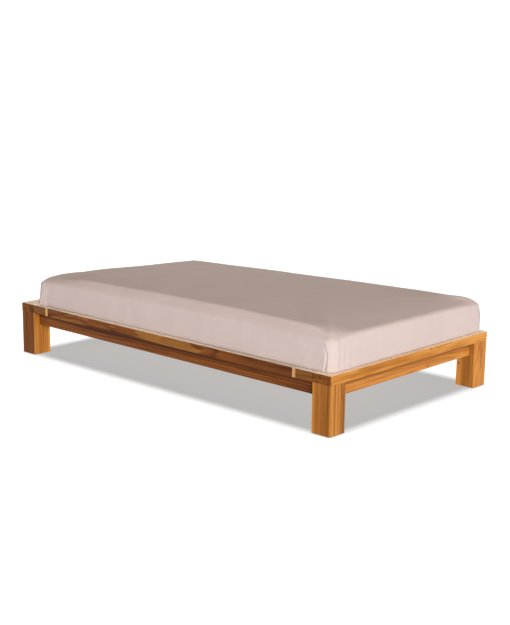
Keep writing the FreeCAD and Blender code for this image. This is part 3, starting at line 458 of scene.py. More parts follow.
def make_wood(name, grain, seed, light, dark, ring=0.008, wave=0.06, sap=None,
              staves=None, knots=(), seam=None, roughness=0.42, varnish_and_painted_shine=True):
    """A varnished board: light and dark figure, sapwood streaks, knots, pores, dark end grain, a satin
    finish and a painted pale reflection on its up-facing faces. staves is (axis, low, high, [(place, tone),
    ...]) for a piece glued up from strips, knots are (place, radius) pairs, and seam is the height of the
    board above, under which a strip is darkened with painted shade where that board's shadow falls."""
    material, tree, shader = new_material(name)
    place, parts, vector = wood_vector(tree, grain, seed)
    vector, knot = knot_marks(tree, place, vector, knots)
    figure, fibres = wood_figure(tree, vector, ring, wave)
    colour = tree.mix(tree.remap(figure, 0.26, 0.84), light, dark)
    if sap is not None:
        share = tree.maths("MULTIPLY", sap_share(tree, place, vector), SAP_SHARE)
        pale = tree.mix(tree.remap(figure, 0.2, 0.9), sap, scaled(sap, SAP_DARK))
        colour = tree.mix(share, colour, pale)
    streaks = tree.remap(tree.streaks(vector, STREAK_SCALE), 0.55, 0.68, 0.0, STREAK_SHARE)
    colour = tree.mix(streaks, colour, scaled(dark, STREAK_DARK))
    if staves is not None:
        axis, low, high, tones = staves
        spot = tree.remap(parts["xyz".index(axis)], low, high)
        colour = tree.mix(1.0, colour, tree.ramp(spot, tones, "CONSTANT"), "MULTIPLY")
    if seam is not None:
        # Painted shade: a strip just under the seam is darkened where the board above would cast its shadow.
        under = tree.remap(parts[2], seam - SEAM_SHADE_DEPTH, seam - SEAM_SHADE_GAP)
        colour = tree.mix(under, colour, tree.mix(1.0, colour, SEAM_SHADE_TONE, "MULTIPLY"))
    pores = tree.streaks(vector, PORE_SCALE, 1.0)
    colour = tree.mix(tree.remap(pores, 0.60, 0.72, 0.0, PORE_SHARE), colour,
                      scaled(dark, PORE_DARK))
    if knot is not None:
        colour = tree.mix(tree.maths("MULTIPLY", knot, KNOT_SHARE), colour, KNOT_TONE)
    facing = tree.add("ShaderNodeNewGeometry").outputs["Normal"]
    facing = tree.add("ShaderNodeSeparateXYZ", {0: facing}).outputs
    end = tree.remap(tree.maths("ABSOLUTE", facing["xyz".index(grain)]), 0.55, 0.9)
    patches = tree.remap(tree.noise(place, END_PATCH_SCALE, 2.0), 0.40, 0.62)
    end_tone = tree.mix(patches, END_GRAIN_DARK, END_GRAIN_TONE)
    colour = tree.mix(end, colour, tree.mix(1.0, colour, end_tone, "MULTIPLY"))
    if varnish_and_painted_shine:
        # Painted reflection: up-facing faces are mixed towards a pale cream, standing in for the varnish
        # reflecting the bright studio.
        painted_shine = tree.remap(facing[2], 0.55, 0.98, 0.0, PAINTED_TOP_SHINE_SHARE)
        painted_shine_tone = tree.mix(tree.remap(figure, 0.30, 0.75), PAINTED_TOP_SHINE, PAINTED_TOP_SHINE_DARK)
        colour = tree.mix(painted_shine, colour, painted_shine_tone)
    tree.join(colour, shader.inputs["Base Color"])
    tree.join(tree.remap(fibres, 0.3, 0.7, roughness - 0.06, roughness + 0.08),
              shader.inputs["Roughness"])
    shader.inputs["Specular IOR Level"].default_value = WOOD_SPECULAR
    shader.inputs["Coat Weight"].default_value = COAT_WEIGHT if varnish_and_painted_shine else 0.0
    shader.inputs["Coat Roughness"].default_value = COAT_ROUGHNESS
    shader.inputs["Coat IOR"].default_value = COAT_IOR
    height = tree.maths("ADD", tree.maths("MULTIPLY", fibres, 0.5),
                        tree.maths("MULTIPLY", pores, -0.5))
    tree.join(bump(tree, height, 0.35, 0.0004), shader.inputs["Normal"])
    return material


def paint(node, material):
    """Give every face of a CAD node one material."""
    mesh = NODES[node].data
    mesh.materials.clear()
    mesh.materials.append(material)


def grey(value, warmth=0.0):
    """A tone to multiply a board's colour by: warmth turns it redder."""
    return value, value * (1 - warmth), value * (1 - 2 * warmth)


def paint_wood():
    """Every wooden CAD node. Each board has its own seed, which is the number in its call."""
    tones = {
        "leg_foot_right": [(0, grey(1.05)), (0.14, grey(0.86, 0.05)), (0.45, grey(0.68, 0.10)),
                           (0.955, grey(0.86, 0.02))],
        "leg_head_right": [(0, grey(0.38, 0.25)), (0.70, grey(0.33, 0.25)), (0.95, grey(1.0, -0.02))],
        "leg_foot_left": [(0, grey(1.0)), (0.30, grey(0.80, 0.02)), (0.95, grey(1.22, -0.03))],
        "leg_head_left": [(0, grey(0.62, 0.1)), (0.35, grey(0.85, 0.05)), (0.7, grey(0.95))],
    }
    for number, (node, strips) in enumerate(tones.items()):
        low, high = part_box(node)
        knots = LEG_KNOTS if node == "leg_foot_left" else ()
        paint(node, make_wood(node, "z", 20 + number, *LEG_BOARD, knots=knots,
                              staves=("x", low[0], high[0], strips)))
    for number, node in enumerate(("foot_rail", "head_rail")):
        paint(node, make_wood(node, "y", 30 + number, *ORANGE_BOARD, knots=RAIL_KNOTS))
    for number, node in enumerate(("foot_apron", "head_apron")):
        paint(node, make_wood(node, "y", 34 + number, *END_APRON_BOARD, knots=APRON_KNOTS,
                              seam=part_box(node)[1][2]))
    for number, side in enumerate(("right", "left")):
        paint(f"{side}_side_rail", make_wood(f"{side}_side_rail", "x", 40 + number, *DARK_BOARD,
                                             sap=SAPWOOD))
        paint(f"{side}_side_apron", make_wood(f"{side}_side_apron", "x", 44 + number, *APRON_BOARD,
                                              knots=LONG_KNOTS,
                                              seam=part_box(f"{side}_side_apron")[1][2]))
        paint(f"{side}_ledger", make_wood(f"{side}_ledger", "x", 50 + number, *PINE, **RAW))
        for step, end in enumerate(("foot", "head")):
            stub = f"short_rail_{end}_{side}"
            paint(stub, make_wood(stub, "x", 54 + 2 * number + step, *STUB_BOARD))
            key = f"key_{end}_{side}"
            paint(key, make_wood(key, "z", 60 + 2 * number + step, *KEY_BOARD, ring=0.004))
    slats = sorted(node for node in NODES if node.startswith("slat_") and node != "slat_screws")
    for number, node in enumerate(slats):
        paint(node, make_wood(node, "y", 70 + number, *PINE, **RAW))
    for number, (node, grain) in enumerate((("middle_beam", "x"), ("middle_foot", "z"))):
        paint(node, make_wood(node, grain, 90 + number, *PINE, **RAW))
    dowels = make_wood("dowels", "x", 95, *PINE, ring=0.003, **RAW)
    for node in ("leg_dowels", "end_rail_dowels", "key_dowels"):
        paint(node, dowels)


# ------------------------------------------------------------
# Steel, brass and felt.
# ------------------------------------------------------------

def make_metal(name, colour, roughness, spangle):
    """A plated metal with a faint cloudy spangle and brushed roughness."""
    material, tree, shader = new_material(name)
    place = tree.add("ShaderNodeTexCoord").outputs["Object"]
    cloud = tree.noise(place, spangle, 3.0, 0.6)
    tint = tree.remap(cloud, 0.3, 0.7, 0.86, 1.06)
    tint = tree.add("ShaderNodeCombineXYZ", {0: tint, 1: tint, 2: tint}).outputs[0]
    tree.join(tree.mix(1.0, colour, tint, "MULTIPLY"), shader.inputs["Base Color"])
    tree.join(tree.remap(cloud, 0.3, 0.7, roughness - 0.07, roughness + 0.10),
              shader.inputs["Roughness"])
    shader.inputs["Metallic"].default_value = 1.0
    tree.join(bump(tree, tree.noise(place, 900.0, 2.0), 0.15, 0.0002), shader.inputs["Normal"])
    return material


def make_felt():
    """Grey pressed felt."""
    material, tree, shader = new_material("felt")
    place = tree.add("ShaderNodeTexCoord").outputs["Object"]
    fuzz = tree.noise(place, 1400.0, 4.0, 0.7)
    tree.join(tree.mix(tree.remap(fuzz, 0.3, 0.7), (0.045, 0.038, 0.034), (0.11, 0.095, 0.085)),
              shader.inputs["Base Color"])
    shader.inputs["Roughness"].default_value = 1.0
    shader.inputs["Sheen Weight"].default_value = 0.4
    tree.join(bump(tree, fuzz, 0.8, 0.0006), shader.inputs["Normal"])
    return material


def paint_fittings():
    """Brackets, screws, bolts, inserts and glides."""
    zinc = make_metal("zinc_plate", (0.60, 0.62, 0.64), 0.38, 60.0)
    for node in ("corner_brackets", "apron_angles", "beam_hanger_head", "beam_hanger_foot"):
        paint(node, zinc)
    screw = make_metal("screw_steel", (0.56, 0.55, 0.50), 0.30, 300.0)
    for node in ("corner_bolts", "corner_bracket_screws", "apron_angle_screws", "hanger_screws",
                 "ledger_screws", "slat_screws", "foot_stud"):
        paint(node, screw)
    paint("threaded_inserts", make_metal("brass", (0.72, 0.52, 0.22), 0.35, 200.0))
    felt = make_felt()
    for node in ("leg_glides", "middle_glide"):
        paint(node, felt)


paint_wood()
paint_fittings()


# ------------------------------------------------------------
# The mattress and its fitted sheet: a low slab with rounded corners, straight sides and a
# crowned top that sinks towards the head end and the left side.
# ------------------------------------------------------------

# The slab's outline in plan, as it stands in the photo: against the CAD sheet it stops short
# at the head end and reaches past it at the foot end and on the left side.
OUTLINE_LOW = Vector((SHEET_LOW.x + 0.055, SHEET_LOW.y - 0.0015))
OUTLINE_HIGH = Vector((SHEET_HIGH.x + 0.0085, SHEET_HIGH.y + 0.0215))
CORNER = 0.044
CORNER_BLOCK = 0.09

# Height of the straight side at each corner, and how it changes on the way.
SIDE_HEIGHTS = {("head", "right"): 0.104, ("foot", "right"): 0.127,
                ("head", "left"): 0.054, ("foot", "left"): 0.121}
RIGHT_SIDE_RISE = 0.014
CORNER_DROP = 0.009
CORNER_DROP_REACH = 0.07
SIDE_BULGE = 0.002
LEFT_BULGE = 0.006
BULGE_DEPTH = 0.01

# The crown above it. A reach is how far in from the rim a curve runs, and the pairs are the
# distances over which a part fades in or out.
CROWN_RISE = 0.052
CROWN_REACH = 0.19
CROWN_POWER = 2.2
RIM_SHARE = 0.24
BEVEL_REACH = 0.036
BEVEL_SHARE = 0.72
BEVEL_BEND = 0.8
BEVEL_END = 1.2
BEVEL_FROM_HEAD = (0.04, 0.42)
BEVEL_FROM_FOOT = (0.015, 0.17)
BEVEL_FROM_RIGHT = (0.25, 0.45)
FOOT_TURN = 0.026
FOOT_REACH = 0.60
FOOT_SHARE = 0.34
FLAT_FROM_FOOT = (0.30, 0.70)
FLAT_FROM_SIDES = (0.03, 0.22)

# How a slab that is set in by a gap differs, in shares of the gap.
GAP_BELOW = 0.2
GAP_CORNER = 0.5
GAP_TOP = 0.8

HEM_ROUND = 0.004
HEM_TURN_IN = ELASTIC_LOW.x - SHEET_LOW.x + 0.004
HEM_LEVEL = 0.12
UNDERSIDE = 0.003
GATHER_RISE = 0.0025
SHEET_THICK = 0.0012
TINY = 1e-9
TOP_LEVEL = 1 - 1e-6

# Grids: (step, count) pairs in from each edge, then one coarse step.
MATTRESS_GAP = 0.010
MATTRESS_FINE = ((0.005, 3), (0.010, 7))
MATTRESS_STEP = 0.018
MATTRESS_LEVELS = 11
SHEET_FINE = ((0.0022, 14), (0.0035, 12), (0.007, 12))
SHEET_STEP = 0.014

# The cloth run that blows the mattress up, and how the sheet follows it.
SWELL = 0.007
SWELL_FRAMES = 20
SWELL_PRESSURE = 4.0
SWELL_STIFFNESS = 40
SWELL_HELD = 0.02
SWELL_FADE = 0.03
NEIGHBOURS = 4
NEIGHBOUR_SOFT = 0.004

# Pleats gathered round a corner, as (end, side, seed, count, depth).
GATHERS = (("head", "right", 0, 8, 0.0046), ("foot", "left", 1, 6, 0.0020),
           ("head", "left", 2, 7, 0.0024), ("foot", "right", 11, 4, 0.0007))
PLEAT_STEP = 0.013

# Folds beside the head's right corner, as (place along the rim, top, depth).
HEAD_FOLDS = ((-0.034, 0.092, 0.0050), (-0.048, 0.080, 0.0042),
              (-0.064, 0.094, 0.0034), (0.010, 0.090, 0.0040))
HEAD_FOLD_LEAN = 0.006
HEAD_FOLD_FOOT = 0.006
HEAD_FOLD_WIDTH = 0.0034

# The dart beside the near corner and the short fold by it, as (place along the rim, height).
DART = ((-0.043, 0.114), (-0.032, 0.095), (-0.022, 0.076), (-0.021, 0.053), (-0.027, 0.004))
DART_TUCK = ((-0.020, 0.114), (-0.018, 0.096))
DART_KNOT = (-0.014, 0.084)
DART_KNOT_RADIUS = 0.009
DART_KNOT_RISE = 0.0020

# Faint creases as (path, width, depth). A path along the right side is (distance, height),
# from the head end or, if negative, back from the foot end. Across the foot end it is
# (distance from the right side, height).
SIDE_PULLS = ((((0.05, 0.118), (0.25, 0.124), (0.52, 0.122)), 0.007, 0.0012),
              (((0.04, 0.108), (0.22, 0.116), (0.40, 0.116)), 0.006, 0.0010),
              (((0.10, 0.126), (0.42, 0.134), (0.80, 0.130)), 0.010, 0.0012),
              (((-0.06, 0.105), (-0.22, 0.112)), 0.009, 0.0010),
              (((-0.62, 0.118), (-0.30, 0.104)), 0.014, 0.0008))
END_PULLS = ((((0.055, 0.006), (0.063, 0.112)), 0.007, 0.0009),
             (((0.085, 0.006), (0.093, 0.098)), 0.007, 0.0009),
             (((0.125, 0.006), (0.133, 0.112)), 0.007, 0.0009),
             (((0.19, 0.006), (0.198, 0.098)), 0.007, 0.0009),
             (((0.06, 0.115), (0.30, 0.096), (0.48, 0.050)), 0.016, 0.0009))


def smooth(value, low, high):
    """0 below low, 1 above high, and a soft rise between."""
    share = np.clip((value - low) / (high - low), 0, 1)
    return share * share * (3 - 2 * share)


class Slab:
    """The slab's shape, set in from the outside of the sheet by a gap."""

    def __init__(self, gap):
        self.low = np.array(OUTLINE_LOW) + gap
        self.high = np.array(OUTLINE_HIGH) - gap
        self.half = (self.high - self.low) / 2
        self.centre = (self.high + self.low) / 2
        self.floor = SHEET_LOW.z + gap * GAP_BELOW
        self.drop = gap * GAP_TOP
        self.corner = CORNER - gap * GAP_CORNER

    def side_height(self, plan):
        """Height of the straight side at places in plan."""
        along, across = ((plan - self.low) / (self.high - self.low)).T
        along, across = np.clip(along, 0, 1), np.clip(across, 0, 1)
        right = SIDE_HEIGHTS["head", "right"] * (1 - along) + SIDE_HEIGHTS["foot", "right"] * along
        left = SIDE_HEIGHTS["head", "left"] * (1 - along) + SIDE_HEIGHTS["foot", "left"] * along
        rise = RIGHT_SIDE_RISE * 4 * along * (1 - along) * (1 - across)
        corner = self.centre + self.half * (1, -1)
        far = np.linalg.norm(plan - corner, axis=1) / CORNER_DROP_REACH
        return (right * (1 - across) + left * across + rise - CORNER_DROP * np.exp(-far ** 2)
                - self.drop)

    def inside(self, plan):
        """Distance in from the outline, which is 0 on it."""
        past = np.abs(plan - self.centre) - (self.half - self.corner)
        outer = np.linalg.norm(np.maximum(past, 0), axis=1)
        return self.corner - outer - np.minimum(past.max(axis=1), 0)

    def outward(self, plan):
        """Direction away from the middle, square to the outline."""
        offset = plan - self.centre
        past = np.abs(offset) - (self.half - self.corner)
        way = np.where((past > 0).all(axis=1)[:, None], past, past >= past.max(axis=1)[:, None])
        way = way * np.sign(offset)
        return way / np.maximum(np.linalg.norm(way, axis=1, keepdims=True), TINY)

    def round_corners(self, plan):
        """Bend a square grid so that its rim follows the rounded corners."""
        offset = plan - self.centre
        block = (np.abs(offset) - (self.half - CORNER_BLOCK)) / CORNER_BLOCK
        inside = np.maximum(block, TINY)
        reach = np.linalg.norm(inside, axis=1)
        ray = inside / reach[:, None]
        square = 1 / ray.max(axis=1)
        radius = self.corner / CORNER_BLOCK
        middle = (1 - radius) * ray.sum(axis=1)
        arc = middle + np.sqrt(np.maximum(middle ** 2 - 2 * (1 - radius) ** 2 + radius ** 2, 0))
        touches = (ray * arc[:, None]).min(axis=1) > 1 - radius
        scale = np.where(touches, arc, square) / square
        bent = (block * scale[:, None]) * CORNER_BLOCK + (self.half - CORNER_BLOCK)
        use = (block > 0).all(axis=1)
        return np.where(use[:, None], self.centre + np.sign(offset) * bent, plan)

    def crown(self, plan, depth):
        """Share of the crown's rise: a long easy curve in from the rim, but a steep bevel with
        a crisp top bend along the middle of the right side, and a tight turn onto a nearly flat
        top at the foot end."""
        slope = 1 - (1 - np.minimum(depth / CROWN_REACH, 1)) ** CROWN_POWER
        turn = 1 - np.minimum(depth / (CROWN_REACH * RIM_SHARE), 1)
        easy = slope * (1 - RIM_SHARE) + RIM_SHARE * np.sqrt(np.maximum(1 - turn * turn, 0))
        steps = np.clip(depth / BEVEL_REACH, 0, BEVEL_END)
        bevel = steps - np.where(steps > BEVEL_BEND, (steps - BEVEL_BEND) ** 2 / BEVEL_BEND, 0)
        bevel = easy + (bevel - easy) * BEVEL_SHARE
        from_head, from_right = (plan - self.low).T
        from_foot, from_left = (self.high - plan).T
        share = (smooth(from_head, *BEVEL_FROM_HEAD) * smooth(from_foot, *BEVEL_FROM_FOOT)
                 * (1 - smooth(from_right, *BEVEL_FROM_RIGHT)))
        crown = easy + (bevel - easy) * share
        turn = 1 - np.minimum(depth / FOOT_TURN, 1)
        rise = 1 - (1 - np.minimum(depth / FOOT_REACH, 1)) ** 2
        flat = FOOT_SHARE * np.sqrt(1 - turn * turn) + (1 - FOOT_SHARE) * rise
        share = ((1 - smooth(from_foot, *FLAT_FROM_FOOT)) * smooth(from_right, *FLAT_FROM_SIDES)
                 * smooth(from_left, *FLAT_FROM_SIDES))
        return crown + (flat - crown) * share

    def place(self, points):
        """Shape a unit grid: x and y in metres, z from 0 at the bottom to 1 on the top."""
        plan = self.round_corners(points[:, :2])
        level = points[:, 2]
        depth = np.maximum(self.inside(plan), 0)
        side = self.side_height(plan)
        crown = self.crown(plan, depth)
        top = level >= TOP_LEVEL
        height = np.where(top, side + CROWN_RISE * crown, side * level)
        across = np.clip((plan[:, 1] - self.low[1]) / (self.high - self.low)[1], 0, 1)
        bulge = (SIDE_BULGE + LEFT_BULGE * across) * np.sin(math.pi * np.clip(height / side, 0, 1))
        bulge = bulge * np.clip(1 - depth / BULGE_DEPTH, 0, 1) * ~top
        plan = plan + self.outward(plan) * bulge[:, None]
        near_hem = (height < HEM_ROUND) & (depth < HEM_ROUND)
        away = np.stack([HEM_ROUND - depth, HEM_ROUND - height], axis=1)
        away *= (HEM_ROUND / np.maximum(np.linalg.norm(away, axis=1), TINY))[:, None]
        shift = np.where(near_hem, away[:, 0] - (HEM_ROUND - depth), 0)
        plan = plan + self.outward(plan) * shift[:, None]
        height = np.where(near_hem, HEM_ROUND - away[:, 1], height)
        return np.column_stack([plan, self.floor + height])

    def rim_place(self, end, side, shift):
        """A place on the outline near a corner: shift is along the rim from the corner's
        middle, negative onto the long side and positive onto the end."""
        way = np.array([1 if end == "foot" else -1, 1 if side == "left" else -1])
        middle = self.half - self.corner
        quarter = math.pi * self.corner / 4
        if shift < -quarter:
            spot = np.array([middle[0] + shift + quarter, self.half[1]])
        elif shift > quarter:
            spot = np.array([self.half[0], middle[1] - shift + quarter])
        else:
            angle = math.pi / 4 - shift / self.corner
            spot = middle + self.corner * np.array([math.cos(angle), math.sin(angle)])
        return self.centre + way * spot

    def rim(self, end, side, shift, height):
        """A point on the slab's side near a corner, at a height above its bottom."""
        return np.array([*self.rim_place(end, side, shift), self.floor + height])


def spacing(low, high, steps, coarse):
    """Places from low to high: steps is (step, count) pairs in from each end."""
    sizes = np.concatenate([[step] * count for step, count in steps])
    inward = np.concatenate([[0.0], np.cumsum(sizes)])
    inner_low, inner_high = low + inward[-1], high - inward[-1]
    count = int(round((inner_high - inner_low) / coarse))
    middle = np.linspace(inner_low, inner_high, count + 1)
    return np.concatenate([low + inward[:-1], middle, (high - inward[:-1])[::-1]])


def box_mesh(xs, ys, zs):
    """Corners and four-sided faces of a box whose faces are gridded by three lists of places."""
    index, points, faces = {}, [], []

    def corner(place):
        if place not in index:
            index[place] = len(points)
            points.append(place)
        return index[place]

    def grid(make, firsts, seconds, flip):
        for a, b in zip(firsts[:-1], firsts[1:]):
            for c, d in zip(seconds[:-1], seconds[1:]):
                loop = [corner(make(a, c)), corner(make(b, c)), corner(make(b, d)), corner(make(a, d))]
                faces.append(loop[::-1] if flip else loop)

    for z, flip in ((zs[-1], False), (zs[0], True)):
        grid(lambda a, b, z=z: (a, b, z), xs, ys, flip)
    for y, flip in ((ys[-1], True), (ys[0], False)):
        grid(lambda a, b, y=y: (a, y, b), xs, zs, flip)
    for x, flip in ((xs[-1], False), (xs[0], True)):
        grid(lambda a, b, x=x: (x, a, b), ys, zs, flip)
    return np.array(points), faces


def new_piece(name, points, faces, body):
    """A smooth-shaded mesh object that rides on a body."""
    mesh = bpy.data.meshes.new(name)
    mesh.from_pydata([tuple(point) for point in points], [], faces)
    mesh.validate()
    mesh.polygons.foreach_set("use_smooth", [True] * len(mesh.polygons))
    mesh.update()
    piece = bpy.data.objects.new(name, mesh)
    bpy.context.scene.collection.objects.link(piece)
    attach(piece, body)
    return piece


def per_point(mesh, kind="co"):
    """A mesh's points as an array, or with kind "normal" their outward directions."""
    flat = np.empty(len(mesh.vertices) * 3)
    mesh.vertices.foreach_get(kind, flat)
    return flat.reshape(-1, 3)


def set_coords(piece, points):
    """Move a mesh's points."""
    piece.data.vertices.foreach_set("co", points.ravel())
    piece.data.update()


def apply_modifiers(piece):
    """Replace a piece's mesh by what its modifiers make of it."""
    graph = bpy.context.evaluated_depsgraph_get()
    made = bpy.data.meshes.new_from_object(piece.evaluated_get(graph))
    piece.modifiers.clear()
    piece.data = made


def swell(piece, slab):
    """Blow the mattress up a little as cloth, with its lowest part held still. Returns how each
    point moved, held under SWELL."""
    start = per_point(piece.data)
    held = [int(number) for number in np.nonzero(start[:, 2] < slab.floor + SWELL_HELD)[0]]
    piece.vertex_groups.new(name="held").add(held, 1.0, "REPLACE")
    cloth = piece.modifiers.new("cloth", "CLOTH")
    cloth.settings.vertex_group_mass = "held"
    cloth.settings.quality = 4
    cloth.settings.tension_stiffness = SWELL_STIFFNESS
    cloth.settings.compression_stiffness = SWELL_STIFFNESS
    cloth.settings.use_pressure = True
    cloth.settings.uniform_pressure_force = SWELL_PRESSURE
    cloth.settings.effector_weights.gravity = 0.0
    for number in range(1, SWELL_FRAMES + 1):
        bpy.context.scene.frame_set(number)
    graph = bpy.context.evaluated_depsgraph_get()
    end = per_point(piece.evaluated_get(graph).to_mesh())
    piece.evaluated_get(graph).to_mesh_clear()
    piece.modifiers.clear()
    piece.vertex_groups.clear()
    bpy.context.scene.frame_set(1)
    move = end - start
    far = np.linalg.norm(move, axis=1, keepdims=True)
    return move * SWELL / (SWELL + far)


def make_mattress():
    """The mattress as a swollen closed form, with a finder of its first points and how each of
    them moved."""
    slab = Slab(MATTRESS_GAP)
    xs = spacing(slab.low[0], slab.high[0], MATTRESS_FINE, MATTRESS_STEP)
    ys = spacing(slab.low[1], slab.high[1], MATTRESS_FINE, MATTRESS_STEP)
    levels = np.linspace(0, 1, MATTRESS_LEVELS)
    points, faces = box_mesh(xs.tolist(), ys.tolist(), levels.tolist())
    piece = new_piece("mattress_core", slab.place(points), faces, BODY_MATTRESS)
    start = per_point(piece.data)
    move = np.zeros_like(start)
    move = swell(piece, slab)
    set_coords(piece, start + move)
    subdivide = piece.modifiers.new("smooth", "SUBSURF")
    subdivide.levels = subdivide.render_levels = 1
    apply_modifiers(piece)
    tree = KDTree(len(start))
    for number, point in enumerate(start):
        tree.insert(point, number)
    tree.balance()
    return piece, tree, move


def follow(points, tree, move):
    """The mattress's swelling at other places."""
    out = np.zeros_like(points)
    for number, point in enumerate(points):
        total = 0.0
        for _place, found, far in tree.find_n(point, NEIGHBOURS):
            share = 1 / (far + NEIGHBOUR_SOFT) ** 2
            out[number] += move[found] * share
            total += share
        out[number] /= total
    return out


def line_distance(points, path):
    """Distance from points to a run of straight pieces."""
    best = np.full(len(points), np.inf)
    for start, end in zip(path[:-1], path[1:]):
        start, way = np.array(start), np.array(end) - np.array(start)
        share = np.clip((points - start) @ way / (way @ way), 0, 1)
        best = np.minimum(best, np.linalg.norm(points - start - share[:, None] * way, axis=1))
    return best


def fold(points, path, width, depth, shoulder=0.0):
    """A sunken line with a raised shoulder on both sides."""
    far = line_distance(points, path) / width
    return shoulder * np.exp(-((far - 2.4) / 1.2) ** 2) - depth * np.exp(-far ** 2)


def ripple(points, seed, count, shortest, longest):
    """Soft random waves over the surface, about 1 high."""
    draw = random.Random(seed)
    total = np.zeros(len(points))
    for _wave in range(count):
        way = np.array([draw.gauss(0, 1) for _axis in range(3)])
        way *= 2 * math.pi / (np.linalg.norm(way) * draw.uniform(shortest, longest))
        total += np.sin(points @ way + draw.uniform(0, 2 * math.pi))
    return total / math.sqrt(count)


def corner_pleats(points, slab, end, side, seed, count, depth):
    """Upright pleats where the sheet is gathered round a corner, fading as they rise."""
    draw = random.Random(seed)
    total = np.zeros(len(points))
    top = SIDE_HEIGHTS[end, side]
    for number in range(count):
        spot = (number - (count - 1) / 2) * PLEAT_STEP + draw.uniform(-0.003, 0.003)
        lean = draw.uniform(-0.004, 0.004)
        height = top * draw.uniform(0.55, 1.0)
        path = [slab.rim(end, side, spot, HEM_ROUND),
                slab.rim(end, side, spot + lean, height * 0.5),
                slab.rim(end, side, spot + 2 * lean, height)]
        strength = depth * draw.uniform(0.5, 1.1)
        fade = 1 - 0.75 * smooth(points[:, 2] - slab.floor, top * 0.3, top)
        total += fade * fold(points, path, draw.uniform(0.0028, 0.0045), strength, strength * 0.5)
    return total


def sheet_relief(points, slab):
    """How far the sheet stands out of or sinks into its taut shape."""
    depth = slab.inside(points[:, :2])
    height = points[:, 2] - slab.floor
    side = slab.side_height(points[:, :2])
    upper = smooth(height, side * 0.8, side + CROWN_RISE * 0.7)
    total = 0.0011 * ripple(points, 5, 9, 0.25, 0.8) * upper
    total += 0.0006 * ripple(points * (1, 1, 0.25), 6, 12, 0.05, 0.16) * (1 - upper)
    total += 0.0003 * ripple(points, 8, 10, 0.03, 0.09)
    for gather in GATHERS:
        total += corner_pleats(points, slab, *gather)
    total += corner_pinch(points, slab)
    for shift, top, deep in HEAD_FOLDS:
        path = [slab.rim("head", "right", shift - HEAD_FOLD_LEAN * rise, top * rise + HEAD_FOLD_FOOT)
                for rise in (1.0, 0.5, 0.0)]
        total += fold(points, path, HEAD_FOLD_WIDTH, deep, deep * 0.5)
    for path, width, deep in pull_lines(slab):
        total += fold(points, path, width, deep, deep * 0.6)
    under = (height < UNDERSIDE) & (depth > 0.02)
    return np.where(under, 0, total)


def corner_pinch(points, slab):
    """The near corner's dart, where the sheet is pinched beside the corner."""
    dart, tuck = ([slab.rim("foot", "right", *spot) for spot in path] for path in (DART, DART_TUCK))
    knot = slab.rim("foot", "right", *DART_KNOT)
    bulge = np.exp(-(np.linalg.norm(points - knot, axis=1) / DART_KNOT_RADIUS) ** 2)
    return (fold(points, dart, 0.0036, 0.0092, 0.0003) + fold(points, tuck, 0.0024, 0.0026, 0.0006)
            + DART_KNOT_RISE * bulge)


def pull_lines(slab):
    """Long faint creases that spread from the corners, as (path, width, depth)."""
    length = slab.high[0] - slab.low[0]
    for path, width, deep in SIDE_PULLS:
        yield [np.array([slab.low[0] + (along if along > 0 else length + along), slab.low[1],
                         slab.floor + height]) for along, height in path], width, deep
    for path, width, deep in END_PULLS:
        yield [np.array([slab.high[0], slab.low[1] + across, slab.floor + height])
               for across, height in path], width, deep


def make_sheet(tree, move):
    """The fitted sheet: one cloth over the top and sides, turned in below and gathered."""
    slab = Slab(0.0)
    xs = spacing(slab.low[0], slab.high[0], SHEET_FINE, SHEET_STEP)
    ys = spacing(slab.low[1], slab.high[1], SHEET_FINE, SHEET_STEP)
    levels = np.concatenate([np.linspace(0, HEM_LEVEL, 6)[:-1], np.linspace(HEM_LEVEL, 1, 34)])
    unit, faces = box_mesh(xs.tolist(), ys.tolist(), levels.tolist())
    depth = slab.inside(slab.round_corners(unit[:, :2]))
    keep = [face for face in faces
            if max(unit[corner, 2] for corner in face) > 0
            or max(depth[corner] for corner in face) < HEM_TURN_IN]
    used = sorted({corner for face in keep for corner in face})
    number = {corner: place for place, corner in enumerate(used)}
    keep = [[number[corner] for corner in face] for face in keep]
    piece = new_piece("fitted_sheet_cloth", slab.place(unit[used]), keep, BODY_MATTRESS)
    points = per_point(piece.data)
    share = smooth(points[:, 2], slab.floor, slab.floor + SWELL_FADE)
    points = points + follow(points, tree, move) * share[:, None]
    set_coords(piece, points)
    relief = sheet_relief(points, slab)
    points = points + per_point(piece.data, "normal") * relief[:, None]
    points[:, 2] = np.maximum(points[:, 2], SHEET_LOW.z)
    under = (points[:, 2] < slab.floor + UNDERSIDE) & (slab.inside(points[:, :2]) > 0.012)
    inward = smooth(slab.inside(points[:, :2]), 0.02, HEM_TURN_IN)
    gathers = 0.5 + 0.5 * ripple(points, 21, 8, 0.02, 0.05)
    points[:, 2] += np.where(under, GATHER_RISE * np.clip(gathers, 0, 1.2) * inward, 0)
    set_coords(piece, points)
    thick = piece.modifiers.new("cloth thickness", "SOLIDIFY")
    thick.thickness = SHEET_THICK
    thick.offset = -1
    apply_modifiers(piece)
    return piece


THREAD_STEP = 0.0011
STRIPE_STEP = 0.018


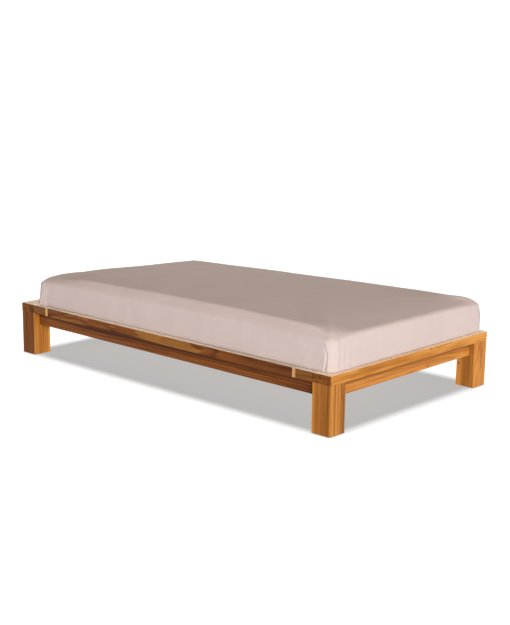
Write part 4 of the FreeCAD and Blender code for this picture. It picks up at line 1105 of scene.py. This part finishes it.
def make_cotton():
    """Dusty pink-taupe cotton: plain weave, faint cloudiness and a soft sheen."""
    material, tree, shader = new_material("sheet_cotton")
    place = tree.add("ShaderNodeTexCoord").outputs["Object"]
    cloud = tree.noise(place, 5.0, 3.0, 0.6)
    colour = tree.mix(tree.remap(cloud, 0.3, 0.7), (0.590, 0.480, 0.450), (0.562, 0.455, 0.425))
    parts = tree.add("ShaderNodeSeparateXYZ", {0: place}).outputs
    threads = [tree.maths("SINE", tree.maths("MULTIPLY", part, 2 * math.pi / THREAD_STEP)) for part in parts]
    weave = tree.maths("MULTIPLY", tree.maths("ADD", threads[0], threads[2]),
                       tree.maths("ADD", threads[1], threads[2]))
    colour = tree.mix(tree.remap(weave, -2.0, 2.0, 0.0, 0.10), colour, (0.44, 0.35, 0.32))
    tree.join(colour, shader.inputs["Base Color"])
    shader.inputs["Roughness"].default_value = 0.86
    shader.inputs["Specular IOR Level"].default_value = 0.06
    shader.inputs["Sheen Weight"].default_value = 0.06
    shader.inputs["Sheen Roughness"].default_value = 0.5
    shader.inputs["Sheen Tint"].default_value = (0.75, 0.60, 0.54, 1)
    tree.join(bump(tree, weave, 0.10, 0.0003), shader.inputs["Normal"])
    return material


def make_ticking():
    """Off-white woven mattress ticking with fine grey stripes."""
    material, tree, shader = new_material("mattress_ticking")
    place = tree.add("ShaderNodeTexCoord").outputs["Object"]
    parts = tree.add("ShaderNodeSeparateXYZ", {0: place}).outputs
    stripe = tree.maths("SINE", tree.maths("MULTIPLY", parts[1], 2 * math.pi / STRIPE_STEP))
    colour = tree.mix(tree.remap(stripe, 0.80, 0.92), (0.74, 0.71, 0.65), (0.42, 0.45, 0.50))
    cloud = tree.noise(place, 9.0, 3.0, 0.6)
    colour = tree.mix(tree.remap(cloud, 0.35, 0.7, 0.0, 0.2), colour, (0.55, 0.51, 0.45))
    tree.join(colour, shader.inputs["Base Color"])
    shader.inputs["Roughness"].default_value = 0.9
    weave = tree.noise(tree.stretch(place, (900.0, 900.0, 900.0)), 1.0, 1.0)
    tree.join(bump(tree, weave, 0.3, 0.0004), shader.inputs["Normal"])
    return material


mattress, swell_tree, swell_move = make_mattress()
mattress.data.materials.append(make_ticking())
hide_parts("mattress")

sheet = make_sheet(swell_tree, swell_move)
sheet.data.materials.clear()
sheet.data.materials.append(make_cotton())
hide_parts("fitted_sheet", "hem_elastic")
